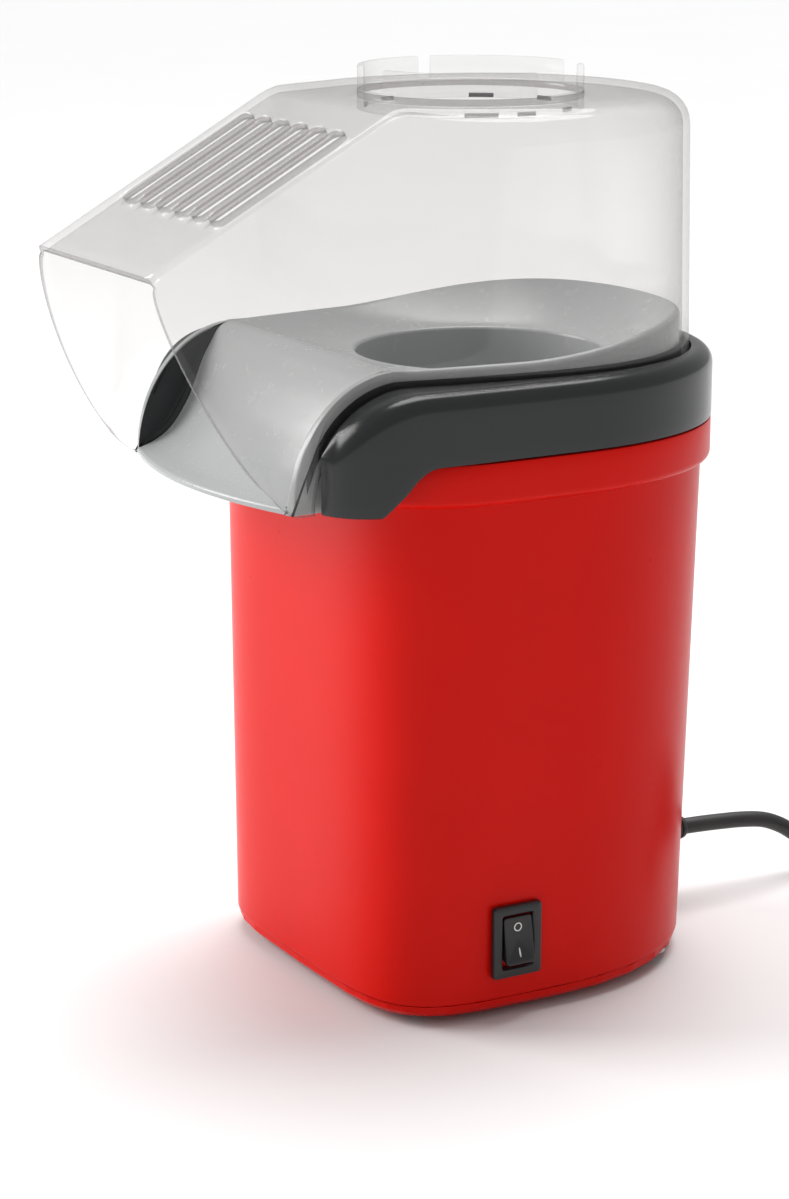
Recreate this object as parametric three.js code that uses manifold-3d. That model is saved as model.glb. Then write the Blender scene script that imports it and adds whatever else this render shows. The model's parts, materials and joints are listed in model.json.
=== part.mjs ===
// A hot-air popcorn maker: a red tower with a charcoal collar, a dished grey deck and chute,
// and a clear lift-off hood. Millimetres, +Z up, chute towards -Y, switch on +X, cord at +Y.
import * as THREE from 'three';
import { mergeVertices } from 'three/addons/utils/BufferGeometryUtils.js';
import Module from 'manifold-3d';

const wasm = await Module();
wasm.setup();

// ---- driving dimensions ----
const gap = 0.3;
const axisY = 7; // the chamber, heater, fan and motor share this upright axis
const plateLow = 2.5;
const plateTop = 5.7;
const shellLow = 6;
const bodyTop = 147.8;
const shoulderTop = 160.3;
const wall = 2.5;
const cuff = 148.5; // underside of the cheeks and of the chute lip
const bodyFoot = { a: 58.5, b: 53.5, c: 66, front: 4.6, rear: 2.2 };
const bodyHead = { a: 60.6, b: 54, c: 70.3, front: 4.6, rear: 2.2 };
const shoulder = { a: 65, b: 58, c: 72, front: 4.6, rear: 2.2 };
const collar = { a: 65.3, b: 74, c: 72, front: 7, rear: 2.2, low: 148.5, high: 180.2, round: 5 };
const cheek = { y: -46, reach: 29.5, rise: 31.2 }; // quarter ellipse that ends the collar
// Where the collar's cheek meets the red shoulder, in [y, z], from the front up.
const cheekLine = [[-60.6, 147], [-60, 148.5], [-53.3, 154.6], [-49.7, 158.6], [-45.7, 160.6]];
const cheekGap = 0.6;
const rim = { half: 54.6, nose: 48, wide: 5, bend: -49, rear: 62.5, power: 2.2, z: 184, lift: 6.5 };
const rimArc = { y: -48, reach: 30.3, rise: 35 }; // quarter ellipse over the chute's sides
const hole = { r: 35.3, z: 178.8, low: 169 };
const lip = { bulge: 8.5 };
const chuteBack = -55.3;
const hood = {
  t: 2, play: 0.6, low: 177.2, top: 251.5, round: 9, foldY: -40.5, foldHalf: 37.4,
  mouthY: -112.7, mouthZ: 211.8, mouthHalf: 36, crown: 56, lift: 100,
};
const mouthArc = { y: -79, z: 208.5, reach: 33.8, drop: 60, power: 1.3 };
const ring = { y: 3.5, r: 31.6, t: 1.8, high: 258.2, low: 246 };
const vents = { count: 6, pitch: 10.5, width: 7, from: 13, to: 57 };
const chamber = { low: 100.3, top: 163.7, r0: 33, r1: 35.5, t: 1.4, flange: 42 };
const duct = { r: 38, t: 1.2, low: 76.3, high: 128 };
const fanCase = { r: 38, t: 2, low: 46.3, floor: 49, high: 76 };
const motor = { r: 13.8, low: 14, high: 44 };
const shaft = { r: 1.15, low: 10.6, high: 64 };
const bush = { r: 3, bore: 1.25, long: 3 };
const fan = { r: 33, hub: 6, low: 51.5, plate: 1.4, high: 66, blades: 8 };
const toggle = { y: -16, z: 23.2, wide: 15.6, tall: 21, face: 61, pivot: 59, half: 7.1 };
const cable = { r: 2.5, z: 22.3, exit: 80.8 };
const coil = { x: 29.5, y: 172, r: 27, half: 7.7, low: 1.5, high: 11.9 };
const plug = { x: 61.6, z: 6.8, y0: 139.4, long: 27 };
const footSpots = [[-38, -36], [38, -36], [-33, 42], [33, 42]];
const screwSpots = [[-47, -41], [47, -41], [-42, 43], [42, 43]];

// ---- solids from vertices ----
function signedVolume(points, faces) {
  let six = 0;
  for (const [a, b, c] of faces) {
    const [p, q, r] = [points[a], points[b], points[c]];
    six += p[0] * (q[1] * r[2] - q[2] * r[1]) + p[1] * (q[2] * r[0] - q[0] * r[2])
      + p[2] * (q[0] * r[1] - q[1] * r[0]);
  }
  return six / 6;
}

function solidOf(points, faces) {
  const turn = signedVolume(points, faces) < 0;
  const triVerts = new Uint32Array(faces.flatMap(([a, b, c]) => (turn ? [a, c, b] : [a, b, c])));
  const vertProperties = new Float32Array(points.flat());
  return new wasm.Manifold(new wasm.Mesh({ numProp: 3, vertProperties, triVerts }));
}

function fromGeometry(geometry) {
  const bare = geometry.clone();
  bare.deleteAttribute('normal');
  bare.deleteAttribute('uv');
  const merged = mergeVertices(bare, 1e-4);
  const at = merged.attributes.position;
  const points = [];
  for (let i = 0; i < at.count; i += 1) points.push([at.getX(i), at.getY(i), at.getZ(i)]);
  const faces = [];
  for (let i = 0; i < merged.index.count; i += 3) {
    const face = [merged.index.getX(i), merged.index.getX(i + 1), merged.index.getX(i + 2)];
    if (new Set(face).size === 3) faces.push(face);
  }
  return solidOf(points, faces);
}

function toGeometry(solid) {
  const mesh = solid.getMesh();
  const geometry = new THREE.BufferGeometry();
  geometry.setAttribute('position', new THREE.Float32BufferAttribute(mesh.vertProperties, 3));
  geometry.setIndex(Array.from(mesh.triVerts));
  return geometry;
}

// Rings of equal length, stacked in order. The ends are capped, or the last ring joins the first.
function loft(rings, { closed = false, flat = (p) => [p[0], p[1]] } = {}) {
  const n = rings[0].length;
  const points = rings.flat();
  const faces = [];
  const last = closed ? rings.length : rings.length - 1;
  for (let i = 0; i < last; i += 1) {
    const up = (i + 1) % rings.length;
    for (let j = 0; j < n; j += 1) {
      const k = (j + 1) % n;
      faces.push([i * n + j, i * n + k, up * n + k], [i * n + j, up * n + k, up * n + j]);
    }
  }
  if (!closed) {
    const caps = [[rings[0], 0, true], [rings.at(-1), (rings.length - 1) * n, false]];
    for (const [outline, offset, down] of caps) {
      const contour = outline.map((p) => new THREE.Vector2(...flat(p)));
      const flip = down !== THREE.ShapeUtils.isClockWise(contour);
      for (const [a, b, c] of THREE.ShapeUtils.triangulateShape(contour, [])) {
        faces.push(flip ? [offset + a, offset + c, offset + b] : [offset + a, offset + b, offset + c]);
      }
    }
  }
  return solidOf(points, faces);
}

function block(x0, x1, y0, y1, z0, z1) {
  const box = new THREE.BoxGeometry(x1 - x0, y1 - y0, z1 - z0);
  return fromGeometry(box.translate((x0 + x1) / 2, (y0 + y1) / 2, (z0 + z1) / 2));
}

// A solid of revolution about an upright axis; the profile lists [radius, height].
function turned(profile, x = 0, y = 0, sides = 32) {
  const lathe = new THREE.LatheGeometry(profile.map(([r, h]) => new THREE.Vector2(r, h)), sides);
  return fromGeometry(lathe.rotateX(Math.PI / 2).translate(x, y, 0));
}

function rod(r, z0, z1, x = 0, y = 0, sides = 24) {
  return turned([[0, z0], [r, z0], [r, z1], [0, z1]], x, y, sides);
}

function tube(outer, inner, z0, z1, x = 0, y = 0, sides = 32) {
  const profile = [[inner, z0], [outer, z0], [outer, z1], [inner, z1], [inner, z0]];
  return turned(profile, x, y, sides);
}

// An outline of [y, z] points carried along X from x0 to x1.
function slab(outline, x0, x1) {
  const ring = (x) => outline.map(([y, z]) => [x, y, z]);
  return loft([ring(x0), ring(x1)], { flat: (p) => [p[1], p[2]] });
}

const joined = (solids) => solids.reduce((sum, next) => sum.add(next));
const cut = (solid, tools) => tools.reduce((rest, tool) => rest.subtract(tool), solid);
const mix = (p, q, t) => p + (q - p) * t;
const smooth = (t) => {
  const s = Math.min(Math.max(t, 0), 1);
  return s * s * (3 - 2 * s);
};

// ---- outlines ----
// Superellipse: half-width a, depth b to the front and c to the rear, with a power for each.
function outline(s, z, inset = 0, perQuarter = 8) {
  const points = [];
  for (let i = 0; i < perQuarter * 4; i += 1) {
    const turn = (i / (perQuarter * 2)) * Math.PI;
    const c = Math.cos(turn);
    const n = Math.sin(turn);
    const e = 2 / (n < 0 ? s.front : s.rear);
    const depth = (n < 0 ? s.b : s.c) - inset;
    const x = (s.a - inset) * Math.sign(c) * Math.abs(c) ** e;
    points.push([x, depth * Math.sign(n) * Math.abs(n) ** e, z]);
  }
  return points;
}

function blend(p, q, t) {
  const mixed = {};
  for (const key of Object.keys(p)) mixed[key] = mix(p[key], q[key], t);
  return mixed;
}

const bodyAt = (z) => blend(bodyFoot, bodyHead, (z - shellLow) / (bodyTop - shellLow));

// The deck's half-width narrows from the widest place to the nose.
function rimHalf(y) {
  if (y >= rim.wide) return rim.half;
  const t = Math.min((rim.wide - y) / (rim.wide - rim.bend), 1);
  return rim.half - (rim.half - rim.nose) * t ** 1.6;
}

// U-shaped outline: straight front at yFront, sides from a half-width rule, rounded rear.
function towerOutline(halfAt, rear, yFront, zAt, sideSteps = 7) {
  const rearSteps = 8;
  const right = [];
  for (let i = 0; i <= sideSteps; i += 1) {
    const y = mix(yFront, rim.wide, i / sideSteps);
    right.push([halfAt(y), y]);
  }
  for (let i = 1; i < rearSteps; i += 1) {
    const turn = (i / rearSteps) * (Math.PI / 2);
    const x = halfAt(rim.wide) * Math.cos(turn) ** (2 / rim.power);
    right.push([x, rim.wide + (rear - rim.wide) * Math.sin(turn) ** (2 / rim.power)]);
  }
  const left = right.map(([x, y]) => [-x, y]).reverse();
  return [...right, [0, rear], ...left].map(([x, y]) => [x, y, zAt(x, y)]);
}

const rimOutline = (z, offset, yFront) => towerOutline(
  (y) => rimHalf(y) + offset,
  rim.rear + offset,
  yFront,
  typeof z === 'function' ? z : () => z,
);

// Quarter of an ellipse in [y, z], from its flat top forward and down to its foot.
function quarter(arc, foot, steps = 10) {
  const points = [];
  for (let i = 0; i <= steps; i += 1) {
    const turn = (i / steps) * (Math.PI / 2);
    points.push([arc.y - arc.reach * Math.sin(turn), foot + arc.rise * Math.cos(turn)]);
  }
  return points;
}

// ---- casing ----
function bodyShell() {
  const outer = loft([
    outline(bodyFoot, shellLow), outline(bodyHead, bodyTop), outline(bodyHead, shoulderTop),
  ]);
  const lower = blend(bodyHead, shoulder, 0.35);
  const mid = blend(bodyHead, shoulder, 0.8);
  const band = loft([
    outline(lower, bodyTop), outline(mid, bodyTop + 0.8),
    outline(shoulder, bodyTop + 2.6), outline(shoulder, shoulderTop),
  ]);
  const front = [[-90, 170], [-90, 140], [-61, 140], ...cheekLine, [-45.7, 170]];
  const underChute = block(-rim.nose - gap, rim.nose + gap, -80, 0, 140, 170);
  const shoulderBand = cut(band, [slab(front.map(([y, z]) => [y + cheekGap, z]), -80, 80), underChute]);
  const inner = loft([
    outline(bodyFoot, shellLow - 1, wall),
    outline(bodyHead, bodyTop, wall),
    outline(bodyHead, shoulderTop + 1, wall),
  ]);
  const bosses = screwSpots.map(([x, y]) => rod(4, shellLow, 22, x, y, 16));
  const pilots = screwSpots.map(([x, y]) => rod(1.8, shellLow - 1, 18, x, y, 12));
  const { y, z } = toggle;
  const window = block(50, 64, y - 6.9, y + 6.9, z - 9.9, z + 9.9);
  const outlet = rod(4.9, 60, 75, 0, 0, 20).rotate([-90, 0, 0]).translate([0, 0, cable.z]);
  const shell = outer.add(shoulderBand).subtract(inner);
  return cut(joined([shell, ...bosses]), [...pilots, window, outlet]);
}

// The collar stands on the shoulder; its cheeks run down beside the chute.
function collarShell() {
  const rings = [outline(collar, collar.low)];
  for (let i = 0; i <= 4; i += 1) {
    const turn = (i / 4) * (Math.PI / 2);
    const z = collar.high - collar.round * (1 - Math.sin(turn));
    rings.push(outline(collar, z, collar.round * (1 - Math.cos(turn))));
  }
  const inside = loft([rimOutline(140, 3.2, -90), rimOutline(190, 3.2, -90)]);
  const profile = [
    [90, shoulderTop + gap], [90, collar.high],
    ...quarter(cheek, cuff), [cheek.y - cheek.reach, 147], ...cheekLine,
  ];
  const bodyHollow = loft([outline(bodyHead, 130, -gap), outline(bodyHead, shoulderTop + gap, -gap)]);
  return cut(loft(rings).intersect(slab(profile, -80, 80)), [inside, bodyHollow]);
}

function basePlate() {
  const foot = (z, inset) => outline(bodyFoot, z, inset);
  const plate = loft([foot(plateLow, 2), foot(4, 0.6), foot(plateTop, 0.6)]);
  const slots = [];
  for (let i = -3; i <= 3; i += 1) slots.push(block(i * 6 - 1.6, i * 6 + 1.6, axisY - 20, axisY + 20, 0, 8));
  const bores = screwSpots.flatMap(([x, y]) => [
    rod(1.9, 0, 8, x, y, 16),
    rod(3.5, 0, plateLow + 1.9, x, y, 16),
  ]);
  return cut(plate, [...slots, ...bores]);
}

const footPad = ([x, y]) => turned([[0, 0], [5, 0], [6, 0.8], [6, 2.2], [0, 2.2]], x, y, 20);

const baseScrew = ([x, y]) => {
  const profile = [[0, 2.7], [2.6, 2.7], [3, 3.1], [3, 4.1], [1.5, 4.1], [1.5, 17], [0, 17]];
  return turned(profile, x, y, 14);
};

// ---- deck and chute ----
const rimHeight = (x, y) => rim.z + rim.lift * smooth((y - 30) / 30);

// A dish from the round throat out to the rim, closed underneath at a constant thickness.
function deckDish() {
  const edge = rimOutline(rimHeight, 0, rim.bend);
  const ringAt = (radius, out, zAt) => edge.map(([x, y, z]) => {
    const turn = Math.atan2(y - axisY, x);
    const px = radius * Math.cos(turn);
    const py = axisY + radius * Math.sin(turn);
    return [mix(px, x, out), mix(py, y, out), zAt(z)];
  });
  const climb = (out) => (z) => hole.z + (z - hole.z) * out ** 1.3;
  const under = (out) => (z) => climb(out)(z) - wall;
  const outs = [0.06, 0.3, 0.6, 0.85, 1];
  const rings = [
    ringAt(hole.r, 0, () => hole.low), ringAt(hole.r, 0, () => hole.z - 0.5),
    ...outs.map((out) => ringAt(hole.r, out, climb(out))),
    ...outs.slice(1).reverse().map((out) => ringAt(hole.r + 2, out, under(out))),
    ringAt(hole.r + 2, 0.04, under(0)), ringAt(hole.r + 2, 0, () => hole.low),
  ];
  return loft(rings, { closed: true });
}

// The chute's floor in [y, z]: over the crest, down, then out to the lip.
const chuteFloor = [
  [-48, 184], [-51, 183.7], [-53.5, 182.3], [-55.5, 179.6], [-58.4, 174.6],
  [-60.6, 169], [-63, 163], [-67.7, 155.9], [-72.5, 152.2], [-77.8, 150.2],
];

function chuteBlock() {
  const stations = 8;
  const steps = chuteFloor.length - 1;
  const ringAt = (x) => {
    const out = lip.bulge * (1 - (x / rim.nose) ** 2);
    const floor = chuteFloor.map(([y, z], i) => [x, y - out * (i / steps) ** 2, z]);
    const back = [[x, chuteBack, cuff], [x, chuteBack, 178], [x, rimArc.y, 178]];
    return [...floor, [x, floor[steps][1], cuff], ...back];
  };
  const rings = [];
  const half = rim.nose - 0.5;
  for (let i = 0; i <= stations; i += 1) rings.push(ringAt(mix(-half, half, i / stations)));
  return loft(rings, { flat: (p) => [p[1], p[2]] });
}

function chuteSide(sign) {
  const over = quarter(rimArc, cuff + 0.5);
  const tip = rimArc.y - rimArc.reach;
  const outlinePoints = [[rimArc.y, 178], ...over, [tip, cuff], [chuteBack, cuff], [chuteBack, 178]];
  const inner = rim.nose - 2.3;
  return sign > 0 ? slab(outlinePoints, inner, rim.nose) : slab(outlinePoints, -rim.nose, -inner);
}

function chuteDeck() {
  const skirtTop = (x, y) => rimHeight(x, y) - 0.8;
  const skirt = loft([rimOutline(164, 0, rim.bend), rimOutline(skirtTop, 0, rim.bend)]);
  const skirtInside = loft([rimOutline(160, -2.2, rim.bend - 4), rimOutline(200, -2.2, rim.bend - 4)]);
  const ledge = loft([rimOutline(173.6, 2.7, -45), rimOutline(176.8, 2.7, -45)]);
  const ledgeInside = loft([rimOutline(170, -2.2, -50), rimOutline(180, -2.2, -50)]);
  const rings = [skirt.subtract(skirtInside), ledge.subtract(ledgeInside)];
  const clearBody = loft([outline(bodyHead, 140, -gap), outline(bodyHead, shoulderTop + gap, -gap)]);
  const underFloor = [[-50, 150.5], [-65, 150.5], [-60.5, 160], [-57.5, 170], [-55, 176], [-50, 176]];
  const hollow = slab(underFloor, -45.2, 45.2);
  const behind = block(-60, 60, -56, -40, 140, 163.5);
  const all = joined([deckDish(), ...rings, chuteBlock(), chuteSide(1), chuteSide(-1)]);
  return cut(all, [clearBody, hollow, behind]);
}

// ---- hood ----
const slope = (hood.top - hood.mouthZ) / (hood.foldY - hood.mouthY);
const roofAt = (y) => (y > hood.foldY ? hood.top : hood.top - (hood.foldY - y) * slope);

// Half-width of the hood at the roof: the mouth, then the fold, then flaring to the crown.
function roofHalf(y) {
  if (y <= hood.foldY) {
    return mix(hood.foldHalf, hood.mouthHalf, (hood.foldY - y) / (hood.foldY - hood.mouthY));
  }
  const t = Math.min((y - hood.foldY) / -hood.foldY, 1);
  return mix(hood.foldHalf, hood.crown, Math.sin(t * (Math.PI / 2)));
}

// Height where the hood's side reaches its full width, just above the deck's rim.
function sideFoot(y) {
  const t = Math.min(Math.max((rimArc.y - y) / (rimArc.reach + 8), 0), 1);
  return cuff + (rim.z + 2 - cuff) * Math.sqrt(1 - t * t);
}

function hoodRing(z, inset) {
  const down = (y) => Math.min(Math.max((roofAt(y) - z) / (roofAt(y) - sideFoot(y)), 0), 1);
  const seat = hood.play + hood.t;
  const half = (y) => mix(roofHalf(y), rimHalf(y) + seat, down(y)) - inset;
  const rear = mix(64, rim.rear + seat, down(0)) - inset;
  return towerOutline(half, rear, -122, () => z, 13);
}

function hoodBlock(inset) {
  const top = hood.top - inset;
  const round = hood.round - inset;
  const rings = [140, cuff, 160, 170, 178, 187, 203, 224].map((z) => hoodRing(z, inset));
  for (let i = 0; i <= 4; i += 1) {
    const turn = (i / 4) * (Math.PI / 2);
    rings.push(hoodRing(top - round * (1 - Math.sin(turn)), inset + round * (1 - Math.cos(turn))));
  }
  return loft(rings);
}

function mouthCurve(steps = 10) {
  const points = [];
  for (let i = 0; i <= steps; i += 1) {
    const turn = (i / steps) * (Math.PI / 2);
    const e = 2 / mouthArc.power;
    const y = mouthArc.y - mouthArc.reach * Math.cos(turn) ** e;
    points.push([y, mouthArc.z - mouthArc.drop * Math.sin(turn) ** e]);
  }
  return points;
}

// Point on the sloping plate, a distance down from the fold.
function onSlope(along, above) {
  const length = Math.hypot(1, slope);
  const y = hood.foldY - (along + above * slope) / length;
  return [y, hood.top + (above - along * slope) / length];
}

function hoodShell() {
  const edge = { y: -46, reach: 27.5, rise: hood.low - cuff };
  const side = [
    [80, hood.low], [80, hood.top], [hood.foldY, hood.top], [hood.mouthY, hood.mouthZ], ...mouthCurve(),
    ...quarter(edge, cuff).reverse(),
  ];
  const lowered = [[80, 100], [80, hood.top - hood.t], [hood.foldY - 0.6, hood.top - hood.t],
    [-130, roofAt(-130) - hood.t * Math.hypot(1, slope)], [-130, 100]];
  const hollow = hoodBlock(hood.t).intersect(slab(lowered, -80, 80));
  const shell = hoodBlock(0).intersect(slab(side, -80, 80)).subtract(hollow);
  const { y, r, t } = ring;
  const socket = tube(r, r - t, ring.low, ring.high, 0, y, 48);
  const notches = [[4, 59], [67, 92], [171, 179], [251, 280]].map(([from, to]) => notch(from, to));
  const withRing = shell.add(cut(socket, notches));
  const slots = [];
  for (let i = 0; i < vents.count; i += 1) {
    const x = (i - (vents.count - 1) / 2) * vents.pitch;
    const corners = [
      onSlope(vents.from, 6), onSlope(vents.to, 6), onSlope(vents.to, -8), onSlope(vents.from, -8),
    ];
    slots.push(slab(corners, x - vents.width / 2, x + vents.width / 2));
  }
  return cut(withRing, [rod(r - t, 240, 262, 0, y, 48), ...slots]);
}

// A wedge that removes the ring wall above the roof between two angles, in degrees.
function notch(from, to) {
  const steps = 6;
  const at = (radius, deg, z) => {
    const turn = THREE.MathUtils.degToRad(deg);
    return [radius * Math.cos(turn), ring.y + radius * Math.sin(turn), z];
  };
  const wedge = (z) => {
    const points = [];
    for (let i = 0; i <= steps; i += 1) points.push(at(36, mix(from, to, i / steps), z));
    for (let i = steps; i >= 0; i -= 1) points.push(at(26, mix(from, to, i / steps), z));
    return points;
  };
  return loft([wedge(hood.top), wedge(262)]);
}

// ---- popping chamber, heater and blower ----
const flangeSpots = [30, 150, 270].map((deg) => {
  const turn = THREE.MathUtils.degToRad(deg);
  return [40 * Math.cos(turn), axisY + 40 * Math.sin(turn)];
});

const flangeHoles = () => flangeSpots.map(([x, y]) => rod(1.7, 150, 170, x, y, 12));

function topFrame() {
  const low = shoulderTop + gap;
  const plate = loft([rimOutline(low, 2.6, -46), rimOutline(low + 2.7, 2.6, -46)]);
  return cut(plate, [rod(38, 150, 170, 0, axisY, 40), ...flangeHoles()]);
}

function poppingChamber() {
  const { low, top, r0, r1, t, flange } = chamber;
  const profile = [
    [0, low + 6], [9, low + 1], [r0 - 3, low], [r0, low + 3], [r1, top], [flange, top], [flange, top + 1.3],
    [r1 - t, top + 1.3], [r0 - t, low + 3.6], [r0 - 3.6, low + t], [9.4, low + 1 + t], [0, low + 6 + t],
  ];
  const cup = turned(profile, 0, axisY, 32);
  const louvres = [];
  for (let i = 0; i < 12; i += 1) {
    const slot = block(r0 - 6, r0 + 6, -1.2, 1.2, low + 6, low + 20);
    louvres.push(slot.rotate([0, 0, i * 30]).translate([0, axisY, 0]));
  }
  return cut(cup, [...louvres, ...flangeHoles()]);
}

const flangeScrew = ([x, y]) => {
  const top = chamber.top + 1.3 + gap;
  return turned([[0, 160], [1.4, 160], [1.4, top], [2.7, top], [2.2, top + 1.7], [0, top + 1.7]], x, y, 14);
};

function heaterDuct() {
  const { r, t, low, high } = duct;
  const lipIn = r - 1.6;
  const profile = [
    [r, low], [r + t, low], [r + t, high], [lipIn, high], [lipIn, high - t], [r, high - t], [r, low],
  ];
  return turned(profile, 0, axisY, 32);
}

function heaterFormer() {
  const arm = (turn) => block(-28, 28, -0.6, 0.6, 79, 97).rotate([0, 0, turn]);
  return arm(0).add(arm(90)).rotate([0, 0, 45]).translate([0, axisY, 0]);
}

function heaterCoil() {
  const turns = 5;
  const perTurn = 14;
  const wire = 0.9;
  const reach = 30;
  const points = [];
  for (let i = 0; i <= turns * perTurn; i += 1) {
    const turn = (i / perTurn) * Math.PI * 2;
    const z = 80.5 + (i / perTurn) * 3;
    points.push(new THREE.Vector3(reach * Math.cos(turn), axisY + reach * Math.sin(turn), z));
  }
  return sweep(points, wire, 5, turns * perTurn);
}

// A round section carried along a smooth curve through the points.
function sweep(points, radius, sides, steps) {
  const section = new THREE.Shape();
  for (let i = 0; i < sides; i += 1) {
    const turn = (i / sides) * Math.PI * 2;
    section[i ? 'lineTo' : 'moveTo'](radius * Math.cos(turn), radius * Math.sin(turn));
  }
  const extrudePath = new THREE.CatmullRomCurve3(points);
  return fromGeometry(new THREE.ExtrudeGeometry(section, { steps, extrudePath, bevelEnabled: false }));
}

function fanHousing() {
  const { r, t, low, floor, high } = fanCase;
  const shellTube = tube(r + t, r, low, high, 0, axisY, 32);
  const floorPlate = tube(r + 1, 6.2, low, floor, 0, axisY, 32);
  const windows = [];
  for (let i = 0; i < 4; i += 1) {
    windows.push(block(17, 33, -9, 9, 40, 50).rotate([0, 0, i * 90]).translate([0, axisY, 0]));
  }
  const legs = [45, 135, 225, 315].map((deg) => {
    const leg = block(r - 3, r + 2, -3, 3, shellLow + 0.3, low + 1);
    return leg.rotate([0, 0, deg]).translate([0, axisY, 0]);
  });
  const bolts = [-10, 10].map((x) => rod(1.5, 40, 50, x, axisY, 12));
  return cut(joined([shellTube, cut(floorPlate, windows), ...legs]), bolts);
}

function motorCan() {
  const { r, low, high } = motor;
  const nest = bush.r + gap;
  const profile = [
    [1.6, low + 2], [1.6, high - 2], [nest, high - 2], [nest, high + 2], [5.2, high + 2], [5.2, high],
    [r - 1.5, high], [r, high - 1.5], [r, low + 1.5], [r - 1.5, low],
    [5.2, low], [5.2, low - 1.6], [nest, low - 1.6],
    [nest, low + 2], [1.6, low + 2],
  ];
  return cut(turned(profile, 0, axisY, 24), [-10, 10].map((x) => rod(1.5, high - 6, high + 4, x, axisY, 12)));
}

const motorBush = (z) => tube(bush.r, bush.bore, z, z + bush.long, 0, axisY, 24);

const motorScrew = (x) => {
  const top = fanCase.floor + gap;
  return turned([[0, 40], [1.2, 40], [1.2, top], [2.4, top], [2, top + 1.6], [0, top + 1.6]], x, axisY, 14);
};

function fanImpeller() {
  const { r, hub, low, plate, high, blades } = fan;
  const bore = shaft.r + 0.25;
  const disc = tube(r, bore, low, low + plate, 0, axisY, 24);
  const boss = tube(hub, bore, low, 62, 0, axisY, 24);
  const vanes = [];
  for (let i = 0; i < blades; i += 1) {
    const vane = block(14, r - 0.4, -0.7, 0.7, low + 0.5, high).rotate([0, 0, 24]).translate([-5, -7, 0]);
    vanes.push(vane.rotate([0, 0, (i * 360) / blades]).translate([0, axisY, 0]));
  }
  const bound = tube(r, bore, low, high, 0, axisY, 24);
  return joined([disc, boss, ...vanes]).intersect(bound);
}

// ---- electrical parts ----
const diodeSpots = [-7.5, -2.5, 2.5, 7.5];

const boardPlate = () => block(-12, 12, axisY - 9, axisY + 9, 7, 8.4);

const diode = (x) => rod(1.3, -3, 3, 0, 0, 12).rotate([90, 0, 0]).translate([x, axisY, 10.05]);

function thermostat() {
  const can = rod(8, 0, 5, 0, 0, 24).add(block(-11, 11, -2.2, 2.2, 1.5, 3));
  return can.rotate([-90, 0, 0]).translate([0, axisY + duct.r + duct.t + gap, 104]);
}

const thermalFuse = () => rod(2, 84, 96, 0, axisY - duct.r - duct.t - 2.4, 14);

function switchHousing() {
  const { y, z, wide, tall, face } = toggle;
  const bezel = block(59.4, face, y - wide / 2, y + wide / 2, z - tall / 2, z + tall / 2);
  const box = block(46, 59.6, y - 6.5, y + 6.5, z - 9.5, z + 9.5);
  const well = block(52, 62, y - 4.9, y + 4.9, z - 7.7, z + 7.7);
  const tabs = [-5, 5].map((dz) => block(44, 52.5, y - 3.4, y + 3.4, z + dz - 0.7, z + dz + 0.7));
  return cut(bezel.add(box), [well, ...tabs]);
}

const switchTerminal = (dz) => {
  const { y, z } = toggle;
  return block(38, 52.2, y - 3.1, y + 3.1, z + dz - 0.4, z + dz + 0.4);
};

// The rocker's V-shaped face; it rests with its upper half pressed in.
function rockerKey() {
  const { y, z, pivot } = toggle;
  const lean = THREE.MathUtils.degToRad(-10);
  const shape = [[-4, -3.2], [2.7, -6.8], [3, -6.2], [2.1, 0], [3, 6.2], [2.7, 6.8], [-4, 3.2]];
  const points = shape.map(([u, v]) => [
    pivot + u * Math.cos(lean) + v * Math.sin(lean),
    z - u * Math.sin(lean) + v * Math.cos(lean),
  ]);
  const side = (at) => points.map(([px, pz]) => [px, at, pz]);
  return loft([side(y - 4.55), side(y + 4.55)], { flat: (p) => [p[0], p[2]] });
}

function strainRelief() {
  const profile = [
    [0, 59], [6.6, 59], [6.6, 62.6], [4.5, 62.6], [4.5, 68], [6, 68.4], [5.8, 70], [3.4, 80.5], [0, 80.5],
  ];
  return turned(profile, 0, 0, 20).rotate([-90, 0, 0]).translate([0, 0, cable.z]);
}

// ---- cord and plug ----
const cordRoute = [
  [0, 80.8, 22.3], [0, 88, 22], [0, 96, 21.5], [0, 104, 20.8], [0, 112, 19.4], [0, 119, 16.4],
  [0, 125, 12.4], [0, 131, 8.2], [0, 137, 4.8], [0, 143, 3], [0, 147, 2.6],
];

const cordTube = () => sweep(cordRoute.map((p) => new THREE.Vector3(...p)), cable.r, 10, 12);

function cordCoil() {
  const { x, y, r, half, low, high } = coil;
  const c = 2;
  const profile = [
    [r - half, low + c], [r - half + c, low], [r + half - c, low], [r + half, low + c], [r + half, high - c],
    [r + half - c, high], [r - half + c, high], [r - half, high - c], [r - half, low + c],
  ];
  return turned(profile, x, y, 32);
}

function cordTie() {
  const { x, y, r, half, low, high } = coil;
  const outer = block(x - 3, x + 3, y + r - half - 1.6, y + r + half + 1.3, low - 1.3, high + 1.3);
  const inner = block(x - 4, x + 4, y + r - half - 0.6, y + r + half + 0.3, low - 0.3, high + 0.3);
  return outer.subtract(inner);
}

function cordTail() {
  const points = [[plug.x, 153.2, 8.9], [plug.x, 149, 8.4], [plug.x, 145, 7.4], [plug.x, 140, plug.z]];
  return sweep(points.map((p) => new THREE.Vector3(...p)), cable.r, 10, 4);
}

function plugBody() {
  const { x, z, y0, long } = plug;
  const profile = [[0, 0], [3.2, 0], [4, 6], [7.6, 13], [8, 15], [8, long], [0, long]];
  const turnedBody = turned(profile, 0, 0, 24).rotate([90, 0, 0]).translate([x, y0, z]);
  const trimmed = turnedBody.intersect(block(x - 9, x + 9, 90, 160, z - 6.4, z + 6.4));
  const face = y0 - long;
  const socket = (dx) => block(x + dx - 2, x + dx + 2, face - 1, face + 5, z - 2, z + 2);
  return cut(trimmed, [socket(-4), socket(4)]);
}

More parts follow.
